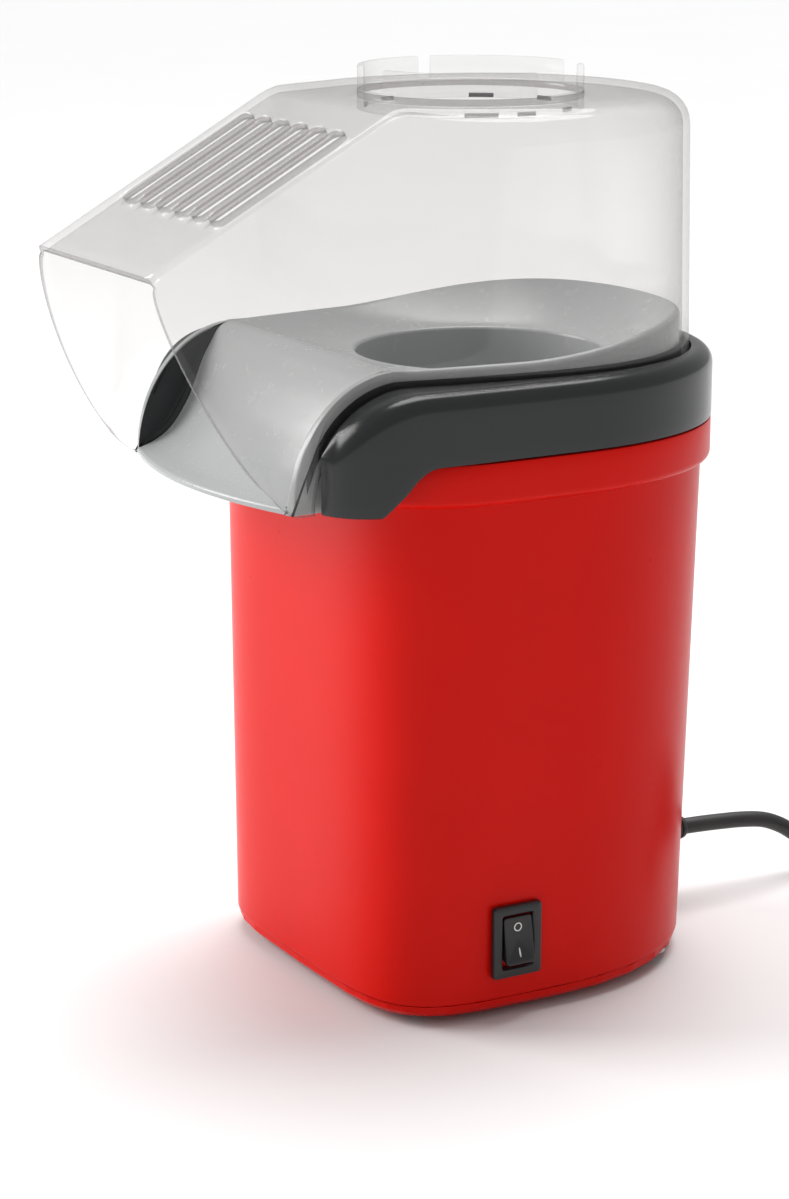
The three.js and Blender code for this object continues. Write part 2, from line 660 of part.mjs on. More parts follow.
function plugPin(dx) {
  const root = plug.y0 - plug.long + 4.4;
  return rod(1.7, 0, 18, 0, 0, 14).rotate([90, 0, 0]).translate([plug.x + dx, root, plug.z]);
}

// ---- finishes ----
const finish = (color, roughness, metalness = 0, more = {}) => ({ color, roughness, metalness, ...more });
const red = finish(0xc8140f, 0.3);
const charcoal = finish(0x2c2e2f, 0.22);
const grey = finish(0xa3a6a6, 0.22);
const clear = finish(0xe6e4e3, 0.08, 0, { transparent: true, opacity: 0.35 });
const black = finish(0x17181a, 0.5);
const rubber = finish(0x1b1b1b, 0.8);
const aluminium = finish(0xc4c6c8, 0.35, 0.9);
const steel = finish(0x8d9194, 0.4, 0.9);
const brass = finish(0xb89a52, 0.35, 0.9);
const mica = finish(0xb7a07a, 0.6);
const copper = finish(0x9a6a48, 0.4, 0.8);
const board = finish(0x2f5a3a, 0.6);

const assembly = new THREE.Group();

function addPiece(name, solid, look) {
  const mesh = new THREE.Mesh(toGeometry(solid), new THREE.MeshStandardMaterial(look));
  mesh.name = name;
  assembly.add(mesh);
}

addPiece('body_shell', bodyShell(), red);
addPiece('collar', collarShell(), charcoal);
addPiece('base_plate', basePlate(), red);
addPiece('chute_deck', chuteDeck(), grey);
addPiece('hood', hoodShell(), clear);
addPiece('top_frame', topFrame(), black);
addPiece('popping_chamber', poppingChamber(), aluminium);
addPiece('heater_duct', heaterDuct(), steel);
addPiece('heater_former', heaterFormer(), mica);
addPiece('heater_coil', heaterCoil(), copper);
addPiece('fan_housing', fanHousing(), black);
addPiece('fan_impeller', fanImpeller(), black);
addPiece('fan_shaft', rod(shaft.r, shaft.low, shaft.high, 0, axisY, 24), steel);
addPiece('motor_can', motorCan(), steel);
addPiece('motor_bush_lower', motorBush(motor.low - 1.3), brass);
addPiece('motor_bush_upper', motorBush(motor.high - 1.5), brass);
addPiece('rectifier_board', boardPlate(), board);
addPiece('thermostat', thermostat(), steel);
addPiece('thermal_fuse', thermalFuse(), steel);
addPiece('switch_housing', switchHousing(), black);
addPiece('rocker', rockerKey(), black);
addPiece('strain_relief', strainRelief(), rubber);
addPiece('cord', cordTube(), rubber);
addPiece('cord_coil', cordCoil(), rubber);
addPiece('cord_tie', cordTie(), black);
addPiece('cord_tail', cordTail(), rubber);
addPiece('plug_body', plugBody(), rubber);
[-4, 4].forEach((dx, i) => addPiece(`plug_pin_${i + 1}`, plugPin(dx), brass));
[-5, 5].forEach((dz, i) => addPiece(`switch_terminal_${i + 1}`, switchTerminal(dz), brass));
[-10, 10].forEach((x, i) => addPiece(`motor_screw_${i + 1}`, motorScrew(x), steel));
flangeSpots.forEach((spot, i) => addPiece(`chamber_screw_${i + 1}`, flangeScrew(spot), steel));
diodeSpots.forEach((x, i) => addPiece(`diode_${i + 1}`, diode(x), black));
footSpots.forEach((spot, i) => addPiece(`foot_${i + 1}`, footPad(spot), rubber));
screwSpots.forEach((spot, i) => addPiece(`base_screw_${i + 1}`, baseScrew(spot), steel));

// The origin is the centre of the underside, measured without the free cord and its plug.
const onCord = (mesh) => /^(cord|plug)/.test(mesh.name);
const extent = new THREE.Box3();
assembly.children.filter((mesh) => !onCord(mesh)).forEach((mesh) => extent.expandByObject(mesh));
const middle = extent.getCenter(new THREE.Vector3());
assembly.position.set(-middle.x, -middle.y, -extent.min.z);

const popcornMaker = new THREE.Group();
popcornMaker.add(assembly);

export default popcornMaker;
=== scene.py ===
import json
import math

import bmesh
import bpy
import numpy as np
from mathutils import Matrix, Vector


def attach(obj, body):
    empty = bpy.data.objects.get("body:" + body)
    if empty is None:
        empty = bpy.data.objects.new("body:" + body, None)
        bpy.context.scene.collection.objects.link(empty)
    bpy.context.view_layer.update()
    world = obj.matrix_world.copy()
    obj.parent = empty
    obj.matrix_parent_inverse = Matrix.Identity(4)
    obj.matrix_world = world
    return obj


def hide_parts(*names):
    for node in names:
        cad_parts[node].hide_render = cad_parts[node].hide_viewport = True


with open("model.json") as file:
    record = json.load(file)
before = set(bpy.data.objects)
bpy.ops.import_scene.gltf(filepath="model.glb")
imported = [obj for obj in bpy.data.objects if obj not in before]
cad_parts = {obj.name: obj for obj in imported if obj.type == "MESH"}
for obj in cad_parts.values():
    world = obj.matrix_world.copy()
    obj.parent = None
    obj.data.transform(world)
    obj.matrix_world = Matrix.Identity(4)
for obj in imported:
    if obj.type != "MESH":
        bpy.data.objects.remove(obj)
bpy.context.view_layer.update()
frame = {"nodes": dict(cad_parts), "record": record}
nodes = frame["nodes"]
mm = 0.001
rowShift = 16.15  # shapes are drawn about the tower's own middle, and the row's middle lies this far in front
print("frame loaded,", len(nodes), "nodes")


# an object that holds the data, linked into the scene
def placed(name, data):
    holder = bpy.data.objects.new(name, data)
    bpy.context.scene.collection.objects.link(holder)
    return holder


view = {"place": (0.7491, -0.43055, 0.3325), "aim": (-0.00894, 0.00042, 0.10509), "lens": 142.08}
cameraData = bpy.data.cameras.new("viewCamera")
cameraData.lens = view["lens"]
cameraData.sensor_width = 36
cameraData.sensor_fit = "HORIZONTAL"
camera = placed("viewCamera", cameraData)
camera.location = view["place"]
sight = Vector(view["aim"]) - Vector(view["place"])
camera.rotation_euler = sight.to_track_quat("-Z", "Y").to_euler()
bpy.context.scene.camera = camera


class Wire:
    # a node's output; each arithmetic sign between two of them, or with a number, adds one Math node
    def __init__(self, finish, socket):
        self.finish = finish
        self.socket = socket

    def maths(self, operation, first, second):
        return self.finish.add("ShaderNodeMath", {"operation": operation}, {0: first, 1: second})

    def __add__(self, other):
        return self.maths("ADD", self, other)

    def __radd__(self, other):
        return self.maths("ADD", other, self)

    def __sub__(self, other):
        return self.maths("SUBTRACT", self, other)

    def __rsub__(self, other):
        return self.maths("SUBTRACT", other, self)

    def __mul__(self, other):
        return self.maths("MULTIPLY", self, other)

    def __rmul__(self, other):
        return self.maths("MULTIPLY", other, self)

    def __pow__(self, other):
        return self.maths("POWER", self, other)


class Finish:
    # one material while its nodes are being laid
    def __init__(self, name):
        self.material = bpy.data.materials.new(name)
        self.material.use_nodes = True
        self.tree = self.material.node_tree
        self.tree.nodes.clear()
        self.place = self.add("ShaderNodeTexCoord", output="Object")

    # one node: its settings come first, then the values or links of its sockets
    def add(self, kind, settings=None, inputs=None, output=0):
        node = self.tree.nodes.new(kind)
        for key, value in (settings or {}).items():
            setattr(node, key, value)
        for key, value in (inputs or {}).items():
            if isinstance(value, Wire):
                self.tree.links.new(value.socket, node.inputs[key])
            else:
                node.inputs[key].default_value = value
        return Wire(self, node.outputs[output])

    def noise(self, scale, detail, roughness=0.5, stretch=(1, 1, 1)):
        place = self.place
        if stretch != (1, 1, 1):
            place = self.add("ShaderNodeMapping", {}, {"Vector": place, "Scale": stretch})
        sizes = {"Vector": place, "Scale": scale, "Detail": detail, "Roughness": roughness}
        return self.add("ShaderNodeTexNoise", {}, sizes)

    def between(self, factor, first, second):
        mix = self.tree.nodes.new("ShaderNodeMix")
        mix.data_type = "RGBA"
        self.tree.links.new(factor.socket, mix.inputs[0])
        mix.inputs[6].default_value = (*first, 1)
        mix.inputs[7].default_value = (*second, 1)
        return Wire(self, mix.outputs[2])

    def bump(self, height, distance, strength):
        return self.add("ShaderNodeBump", {}, {"Height": height, "Distance": distance, "Strength": strength})

    def shown(self, shader):
        end = self.tree.nodes.new("ShaderNodeOutputMaterial")
        self.tree.links.new(shader.socket, end.inputs["Surface"])
        return self.material

    def surface(self, inputs):
        return self.shown(self.add("ShaderNodeBsdfPrincipled", {}, inputs))


# moulded plastic: cloudy colour, fine grain in the gloss and a faint ripple from the mould
def mouldedPlastic(name, colour, gloss, grain=0.00002, cloud=0.06, shine=0.5):
    finish = Finish(name)
    clouds = finish.noise(38, 3)
    specks = finish.noise(1400, 2, 0.7)
    wear = finish.noise(210, 4, 0.6)
    light = [min(c * (1 + cloud), 1) for c in colour]
    dark = [c * (1 - cloud) for c in colour]
    ripple = clouds * 6 + specks * 0.35
    return finish.surface({
        "Base Color": finish.between(clouds, dark, light),
        "Roughness": gloss + (wear - 0.5) * 0.10 + (specks - 0.5) * 0.04,
        "Specular IOR Level": shine,
        "Normal": finish.bump(ripple, grain, 0.6),
    })


# clear plastic: a thin wall that lets the view straight through, with a smoky veil that deepens where it is
# seen edge on, and an even gloss over it
def clearPlastic(name, tint, smoke, veil, edge, gloss):
    finish = Finish(name)
    ripple = finish.noise(26, 2)
    specks = finish.noise(900, 2, 0.6)
    grain = finish.bump(ripple, 0.0004, 0.25)
    turnedAway = finish.add("ShaderNodeLayerWeight", {}, {"Blend": 0.5}, output=1)
    through = finish.add("ShaderNodeBsdfTransparent", {}, {"Color": (*tint, 1)})
    body = finish.add("ShaderNodeBsdfPrincipled", {}, {
        "Base Color": finish.between(ripple, [c * 0.9 for c in smoke], smoke),
        "Roughness": 0.3 + specks * 0.1,
        "Normal": grain,
    })
    wall = finish.add("ShaderNodeMixShader", {}, {0: veil + (turnedAway ** 3) * edge, 1: through, 2: body})
    shine = finish.add("ShaderNodeBsdfGlossy", {}, {"Roughness": gloss, "Normal": grain})
    share = 0.035 + (turnedAway ** 4) * 0.16
    return finish.shown(finish.add("ShaderNodeMixShader", {}, {0: share, 1: wall, 2: shine}))


# metal: fine lines drawn along one axis, worn brighter and duller in patches
def drawnMetal(name, colour, gloss, stretch=(1, 1, 12)):
    finish = Finish(name)
    lines = finish.noise(420, 3, 0.7, stretch)
    patches = finish.noise(60, 4)
    return finish.surface({
        "Base Color": finish.between(patches, [c * 0.8 for c in colour], colour),
        "Metallic": 1.0,
        "Roughness": gloss + (lines - 0.5) * 0.25 + (patches - 0.5) * 0.1,
        "Normal": finish.bump(lines, 0.00003, 0.5),
    })


# rubber and soft sheath: matt, with fine pits and a dusty bloom
def softRubber(name, colour, gloss):
    finish = Finish(name)
    dust = finish.noise(90, 5, 0.65)
    pits = finish.noise(2400, 2, 0.7)
    return finish.surface({
        "Base Color": finish.between(dust, colour, [c * 2.1 + 0.004 for c in colour]),
        "Roughness": gloss + (dust - 0.5) * 0.2,
        "Normal": finish.bump(pits, 0.00004, 0.5),
    })


# pressed mica: flat flakes of light and dark that glint a little
def micaSheet(name, colour):
    finish = Finish(name)
    flakes = finish.add("ShaderNodeTexVoronoi", {}, {"Vector": finish.place, "Scale": 520.0})
    return finish.surface({
        "Base Color": finish.between(flakes, [c * 0.6 for c in colour], colour),
        "Roughness": 0.35 + flakes * 0.5,
        "Normal": finish.bump(flakes, 0.00008, 0.4),
    })


# circuit board: green lacquer over a woven base
def lacqueredBoard(name, colour):
    finish = Finish(name)
    sizes = {"Vector": finish.place, "Scale": 300.0}
    weave = finish.add("ShaderNodeTexWave", {"bands_direction": "X"}, sizes)
    cloth = finish.add("ShaderNodeTexWave", {"bands_direction": "Y"}, sizes)
    return finish.surface({
        "Base Color": finish.between(weave * cloth, colour, [c * 1.5 for c in colour]),
        "Roughness": 0.3 + weave * 0.1,
        "Normal": finish.bump(weave + cloth, 0.00004, 0.4),
    })


# the table top: near white, with a trace of mottle
def paleTop(name):
    finish = Finish(name)
    mottle = finish.noise(9, 3)
    return finish.surface({
        "Base Color": finish.between(mottle, (0.71, 0.71, 0.71), (0.73, 0.73, 0.73)),
        "Roughness": 0.7 + mottle * 0.1,
        "Normal": finish.bump(finish.noise(300, 3), 0.00005, 0.2),
    })


redPlastic = mouldedPlastic("redPlastic", (0.62, 0.005, 0.0015), 0.3, shine=0.10)
charcoalPlastic = mouldedPlastic("charcoalPlastic", (0.016, 0.017, 0.0175), 0.20, shine=0.38)
greyPlastic = mouldedPlastic("greyPlastic", (0.34, 0.35, 0.35), 0.26, cloud=0.03, shine=0.4)
# painted shade: very dark plastic for the dark shade and reflection seen on the chute's inner cheek walls
paintedCheekShade = mouldedPlastic("paintedCheekShade", (0.010, 0.011, 0.012), 0.14, shine=0.5)
blackPlastic = mouldedPlastic("blackPlastic", (0.012, 0.012, 0.013), 0.5, grain=0.00006)
switchPlastic = mouldedPlastic("switchPlastic", (0.010, 0.010, 0.011), 0.36, grain=0.00005)
markPaint = mouldedPlastic("markPaint", (0.75, 0.75, 0.73), 0.45)
clearHood = clearPlastic("clearHood", (0.965, 0.960, 0.958), (0.2, 0.195, 0.195), 0.02, 0.32, 0.06)
clearRing = clearPlastic("clearRing", (0.985, 0.983, 0.982), (0.3, 0.295, 0.295), 0.02, 0.2, 0.06)
hoodEdge = clearPlastic("hoodEdge", (0.78, 0.76, 0.76), (0.12, 0.11, 0.11), 0.2, 0.4, 0.1)
smokedPlastic = mouldedPlastic("smokedPlastic", (0.09, 0.085, 0.085), 0.18, shine=0.6)
aluminium = drawnMetal("aluminium", (0.80, 0.81, 0.82), 0.48, (1, 1, 18))
steel = drawnMetal("steel", (0.46, 0.47, 0.48), 0.34)
nichrome = drawnMetal("nichrome", (0.34, 0.25, 0.18), 0.5)
bronze = drawnMetal("bronze", (0.50, 0.32, 0.14), 0.45)
brass = drawnMetal("brass", (0.70, 0.54, 0.26), 0.28)
mica = micaSheet("mica", (0.52, 0.42, 0.26))
circuitBoard = lacqueredBoard("circuitBoard", (0.02, 0.10, 0.04))
cordRubber = softRubber("cordRubber", (0.012, 0.012, 0.012), 0.5)
footRubber = softRubber("footRubber", (0.02, 0.02, 0.02), 0.8)
slotFinish = {
    "red_plastic": redPlastic, "charcoal_plastic": charcoalPlastic, "grey_plastic": greyPlastic,
    "clear_plastic": clearHood, "black_plastic": blackPlastic, "switch_plastic": switchPlastic,
    "aluminium": aluminium, "steel": steel, "mica": mica, "nichrome": nichrome, "bronze": bronze,
    "brass": brass, "circuit_board": circuitBoard, "cord_rubber": cordRubber, "foot_rubber": footRubber,
}
for part in frame["record"]["subparts"]:
    shown = nodes[part["node"]]
    if not shown.material_slots:
        shown.data.materials.append(None)
    for holder in shown.material_slots:
        holder.material = slotFinish[part["material_slot"]]
print("materials laid on the packed parts")


# numbers of the corners of each four-sided face on a grid of rows and columns, either of which may close
def gridFaces(rows, columns, closeRows=False, closeColumns=False):
    i = np.arange(rows if closeRows else rows - 1)[:, None]
    j = np.arange(columns if closeColumns else columns - 1)[None, :]
    i, j = np.broadcast_arrays(i, j)
    up = (i + 1) % rows
    along = (j + 1) % columns
    corners = [i * columns + j, i * columns + along, up * columns + along, up * columns + j]
    return np.stack(corners, -1).reshape(-1, 4)


# faces of a band that closes round its section and has a flat cap at each end
def bandFaces(rings, first=0):
    count, columns = rings.shape[:2]
    start = [first + i * columns for i in range(count)]
    end = [corner + columns - 1 for corner in start]
    return (gridFaces(count, columns, closeRows=True) + first).tolist() + [start, end[::-1]]


# corners round the vertical through (0, middle): a reach and a height at each turn
def turnedRow(turn, reach, z, middle=0.0):
    return np.stack([reach * np.cos(turn), middle + reach * np.sin(turn), z + 0 * turn], -1)


# a mesh from points in mm; it is turned so that its faces look away from its middle
def makePiece(name, points, faces, finish, slotName, body="base", stands=(), sharp=35, second=None,
              mend=False):
    place = (np.asarray(points, float).reshape(-1, 3) + (0, rowShift, 0)) * mm
    mesh = bpy.data.meshes.new(name)
    mesh.from_pydata(place.tolist(), [], [list(map(int, face)) for face in faces])
    mesh.materials.append(finish)
    if second:
        mesh.materials.append(second[0])
        mesh.polygons.foreach_set("material_index", np.asarray(second[1], np.int32))
    shape = bmesh.new()
    shape.from_mesh(mesh)
    bmesh.ops.remove_doubles(shape, verts=shape.verts, dist=0.000004)
    if mend:
        bmesh.ops.recalc_face_normals(shape, faces=shape.faces)  # its patches run in different directions
    middle = Vector(place.mean(0))
    outward = sum(f.normal.dot(f.calc_center_median() - middle) * f.calc_area() for f in shape.faces)
    if outward < 0:
        bmesh.ops.reverse_faces(shape, faces=shape.faces)
    shape.to_mesh(mesh)
    shape.free()
    mesh.shade_smooth()
    mesh.set_sharp_from_angle(angle=math.radians(sharp))
    piece = placed(name, mesh)
    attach(piece, body)
    if stands:
        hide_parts(*stands)
    return piece


# a piece whose rings close both ways
def ringPiece(name, rings, finish, slotName, **more):
    faces = gridFaces(*rings.shape[:2], closeRows=True, closeColumns=True)
    return makePiece(name, rings, faces, finish, slotName, **more)


# a wall grown inwards from the surface
def solidify(piece, thickness):
    wall = piece.modifiers.new("wall", "SOLIDIFY")
    wall.thickness = thickness * mm
    wall.offset = -1
    wall.use_even_offset = True
    return wall


# 0 to 1 with a soft start and end: three squares less two cubes
def smooth(t):
    s = np.clip(t, 0, 1)
    return s * s * (3 - 2 * s)


# the mains cord lies in a round coil of two layers
cordShape = {
    "radius": 2.5, "pitch": 5.1, "low": 3.1, "high": 8.3, "centre": (29.5, 172), "entry": 29.5,
    "inTurns": 1.8, "climbTurns": 0.4, "outTurns": 2.3, "perTurn": 18,
}
cordStart = [
    (0, 80.8, 22.3), (0, 88, 22), (0, 96, 21.5), (0, 104, 20.8), (0, 112, 19.4), (0, 119, 16.4),
    (0, 125, 12.4), (0, 131, 8.2), (0, 137, 4.8), (0, 143, 3.2), (0, 149, 2.7), (0, 157, 2.8), (0, 165, 3),
]


# the turns wind inwards on the floor, climb at the inside, and wind outwards on top:
# radius falls by the pitch each turn, stays level on the climb, then grows by the pitch each turn
def cordRoute():
    s = cordShape
    total = s["inTurns"] + s["climbTurns"] + s["outTurns"]
    turns = np.linspace(0, total, int(total * s["perTurn"]) + 1)
    inner = s["entry"] - s["pitch"] * s["inTurns"]
    outer = inner + s["pitch"] * (turns - s["inTurns"] - s["climbTurns"])
    radius = np.where(turns < s["inTurns"], s["entry"] - s["pitch"] * turns, np.maximum(outer, inner))
    rise = smooth((turns - s["inTurns"] + 0.1) / (s["climbTurns"] + 0.2))
    angle = np.pi - turns * 2 * np.pi
    wound = np.stack([
        s["centre"][0] + radius * np.cos(angle),
        s["centre"][1] + radius * np.sin(angle),
        s["low"] + (s["high"] - s["low"]) * rise,
    ], 1)
    x, y = wound[-1, :2]
    tail = [(x - 0.1, y - 9, 8.3), (x - 0.3, y - 18, 8.0), (61.6, y - 26, 7.4), (61.6, 139, 6.8)]
    return np.vstack([cordStart, wound, tail])


# smooth line through the points: each gap is filled by the cubic that takes its slopes from the neighbours
def smoothLine(points, steps):
    ends = np.vstack([2 * points[0] - points[1], points, 2 * points[-1] - points[-2]])
    a, b, c, d = ends[:-3, None], ends[1:-2, None], ends[2:-1, None], ends[3:, None]
    t = (np.arange(steps) / steps)[None, :, None]
    square = (2 * a - 5 * b + 4 * c - d) * t ** 2
    cube = (3 * b - a - 3 * c + d) * t ** 3
    line = 0.5 * (2 * b + (c - a) * t + square + cube)
    return np.vstack([line.reshape(-1, 3), points[-1]])


# round tube: at each point of the line a circle stands square to the line's direction
def tubeAlong(line, radius, sides):
    ahead = np.gradient(line, axis=0)
    ahead /= np.linalg.norm(ahead, axis=1)[:, None]
    across = np.cross(ahead, (0, 0, 1))
    across /= np.linalg.norm(across, axis=1)[:, None]
    above = np.cross(across, ahead)
    turn = (np.arange(sides) / sides * 2 * np.pi)[None, :, None]
    points = line[:, None] + radius * (np.cos(turn) * across[:, None] + np.sin(turn) * above[:, None])
    faces = gridFaces(len(line), sides, closeColumns=True).tolist()
    last = (len(line) - 1) * sides
    return points, faces + [list(range(sides)), list(range(last, last + sides))]


cordLine = smoothLine(cordRoute(), 4)
mainsCord = makePiece("mainsCord", *tubeAlong(cordLine, cordShape["radius"], 16), cordRubber, "cord_rubber",
                      stands=("cord", "cord_coil", "cord_tail"), sharp=60)


# distance from the middle to a superellipse at each turn: half-width a, and a depth and power front and rear
def ovalReach(turn, a, front, rear, frontPower, rearPower):
    c = np.cos(turn)
    n = np.sin(turn)
    power = np.where(n < 0, frontPower, rearPower)
    depth = np.where(n < 0, front, rear)
    return ((np.abs(c) / a) ** power + (np.abs(n) / depth) ** power) ** (-1 / power)


# reach of an outline given by its half-width at each y, found by halving, from the point (0, middle)
def reachTo(halfAt, turn, front, rear, middle=0.0):
    low = np.zeros_like(turn)
    high = np.full_like(turn, 150.0)
    for _ in range(40):
        half = (low + high) / 2
        x = np.abs(half * np.cos(turn))
        y = middle + half * np.sin(turn)
        inside = (y > front) & (y < rear) & (x < halfAt(np.clip(y, front, rear)))
        low = np.where(inside, half, low)
        high = np.where(inside, high, half)
    return low


towerShape = {
    "foot": (58.5, 53.5, 66), "head": (60.6, 54, 70.3), "shoulder": (65, 58, 72), "power": (4.6, 2.2),
    "low": 6.0, "neck": 147.8, "top": 160.3, "wall": 2.5, "columns": 220,
}


# one ring of the tower: its superellipse grows evenly from the foot to the head
def towerRing(turn, z, inset=0.0):
    t = towerShape
    rise = min((z - t["low"]) / (t["neck"] - t["low"]), 1)
    a, front, rear = (p + (q - p) * rise - inset for p, q in zip(t["foot"], t["head"]))
    reach = ovalReach(turn, a, front, rear, *t["power"])
    return turnedRow(turn, reach, z)


# the tower's wall: superellipse rings up the outside, over a rounded rim and down the inside
def towerShell():
    t = towerShape
    turn = np.arange(t["columns"]) / t["columns"] * 2 * np.pi
    outside = [(t["low"], 0.5), (t["low"] + 0.25, 0.12), (t["low"] + 0.7, 0)]
    outside += [(z, 0) for z in np.linspace(t["low"] + 1.5, t["neck"], 24)] + [(t["top"] - 0.8, 0)]
    rim = [(t["top"] - 0.2, 0.2), (t["top"], 0.7), (t["top"], t["wall"] - 0.3)]
    inside = [(z, t["wall"]) for z in (t["top"] - 0.4, 150, 100, 50, t["low"])]
    rings = np.array([towerRing(turn, z, inset) for z, inset in outside + rim + inside])
    return ringPiece("towerShell", rings, redPlastic, "red_plastic", stands=("body_shell",))


# the red shoulder: a rounded step carried round the sides and back, whose ends lean along the cheeks
shoulderShape = {
    "line": ((147, -60.0), (154.6, -52.7), (158.6, -49.1), (160.6, -45.1)), "cheek": 48.6, "step": 2.6,
    "steps": 7, "sink": 1.2, "middle": 156, "columns": 170,
}


def shoulderBand():
    t = towerShape
    s = shoulderShape
    power = t["power"][0]
    low = t["neck"] + 0.2
    bend = np.linspace(0, np.pi / 2, s["steps"])
    rows = [(low, -s["sink"])] + list(zip(low + s["step"] - s["step"] * np.cos(bend), np.sin(bend)))
    rows += [(s["middle"], 1), (t["top"] - 0.7, 1), (t["top"] - 0.2, 0.96), (t["top"], 0.84),
             (t["top"], -s["sink"])]
    line = np.array(s["line"])
    rings = []
    for z, full in rows:
        size = [p + (q - p) * max(full, 0) + min(full, 0) for p, q in zip(t["head"], t["shoulder"])]
        deepest = size[1] * (1 - (s["cheek"] / size[0]) ** power) ** (1 / power)
        end = max(np.interp(z, line[:, 0], line[:, 1]), -deepest)
        edge = np.arctan2(end, size[0] * (1 - (abs(end) / size[1]) ** power) ** (1 / power))
        turn = np.linspace(edge, np.pi - edge, s["columns"])
        rings.append(turnedRow(turn, ovalReach(turn, *size, *t["power"]), z))
    rings = np.array(rings)
    return makePiece("shoulderBand", rings, bandFaces(rings), redPlastic, "red_plastic")


towerShell()
shoulderBand()
print("tower made")

# the deck's outline also shapes the collar, the painted shadow band in the groove and the foot of the hood
deckShape = {
    "half": 54.6, "nose": 48, "wide": 5, "bend": -49, "rear": 62.5, "power": 2.2, "rim": 184, "lift": 6.5,
    "liftFrom": -12, "liftOver": 72, "hole": 35.3, "holeTop": 178.8, "throatLow": 165.5, "axis": 7,
    "lip": 1.2, "roll": 1.6, "dish": 1.35, "wall": 2.2, "hem": (176.0, 170.0, 178.0), "columns": 240,
}
collarShape = {
    "size": (65.3, 74, 72), "power": (7, 2.2), "top": 180.2, "cuff": 148.5, "round": 5.0, "edge": 0.6,
    "cheek": (-46, 29.5, 31.2), "inner": 3.2, "foot": 0.8, "tip": (51.5, -72.2), "tipTurn": 0.25,
    "tipColumns": 24, "columns": 230,
    "line": ((-60.6, 148.5), (-60, 148.5), (-53.3, 154.6), (-49.7, 158.6), (-45.7, 160.6)),
}


# half-width of the deck's rim: widest in the middle, narrowing by a power towards the nose
def rimHalf(y):
    d = deckShape
    ahead = np.clip((d["wide"] - y) / (d["wide"] - d["bend"]), 0, 1)
    return d["half"] - (d["half"] - d["nose"]) * ahead ** 1.6


# half-width of the U-shaped plan, set off outwards: the sides narrow to the front and the rear is rounded
def planHalf(y, off):
    d = deckShape
    back = np.clip((y - d["wide"]) / (d["rear"] + off - d["wide"]), 0, 1)
    return (rimHalf(y) + off) * (1 - back ** d["power"]) ** (1 / d["power"])


# height of the collar's top: level behind the cheeks, then a quarter ellipse down to their tips
def collarTop(y):
    front, reach, rise = collarShape["cheek"]
    ahead = np.clip(front - y, 0, reach) / reach
    return collarShape["top"] - rise + rise * np.sqrt(np.clip(1 - ahead ** 2, 0, 1))


# the collar: a thick band round the deck, its top falling in a quarter ellipse to the cheeks' tips
def collarBand():
    c = collarShape
    start = math.atan2(c["tip"][1], c["tip"][0])
    even = np.linspace(start, np.pi - start, c["columns"])
    close = np.linspace(start, start + c["tipTurn"], c["tipColumns"])[1:]  # columns stand closer at the tips
    turn = np.sort(np.concatenate([even, close, np.pi - close]))
    outer = ovalReach(turn, *c["size"], *c["power"])
    inner = reachTo(lambda y: planHalf(y, c["inner"]), turn, -90, deckShape["rear"] + c["inner"])
    inner = np.minimum(inner, outer - 0.5)
    line = np.array(c["line"])
    width = outer - inner

    def low(reach):
        return np.interp(reach * np.sin(turn), line[:, 0], line[:, 1])

    def heightAt(reach, drop):
        return np.maximum(collarTop(reach * np.sin(turn)) - drop, low(reach) + 0.3)

    bend = np.minimum(c["round"], width * 0.75)
    edge = np.minimum(c["edge"], width * 0.1)
    base = low(outer) + c["foot"]
    rows = [(outer - 0.5, low(outer)), (outer - 0.1, low(outer) + 0.25), (outer, base)]
    for share in (0.2, 0.4, 0.6, 0.8):
        rows.append((outer, base + (np.maximum(heightAt(outer, bend), base) - base) * share))
    for a in np.linspace(0, np.pi / 2, 9):
        reach = outer - bend * (1 - np.cos(a))
        rows.append((reach, np.maximum(heightAt(reach, bend * (1 - np.sin(a))), low(reach) + 0.9)))
    for share in (0.3, 0.6, 0.85):
        reach = outer - bend - (width - bend - edge) * share
        rows.append((reach, heightAt(reach, 0)))
    rows += [(inner + edge, heightAt(inner + edge, 0)), (inner + edge * 0.3, heightAt(inner, edge * 0.3)),
             (inner, heightAt(inner, edge)), (inner, low(inner))]
    rings = np.array([turnedRow(turn, reach, z) for reach, z in rows])
    return makePiece("collarBand", rings, bandFaces(rings), charcoalPlastic, "charcoal_plastic",
                     stands=("collar",), sharp=40)


collarBand()
print("collar made")


# height of the deck's rim: level in front, rising smoothly to the rear
def rimHeight(y):
    d = deckShape
    return d["rim"] + d["lift"] * smooth((y - d["liftFrom"]) / d["liftOver"])


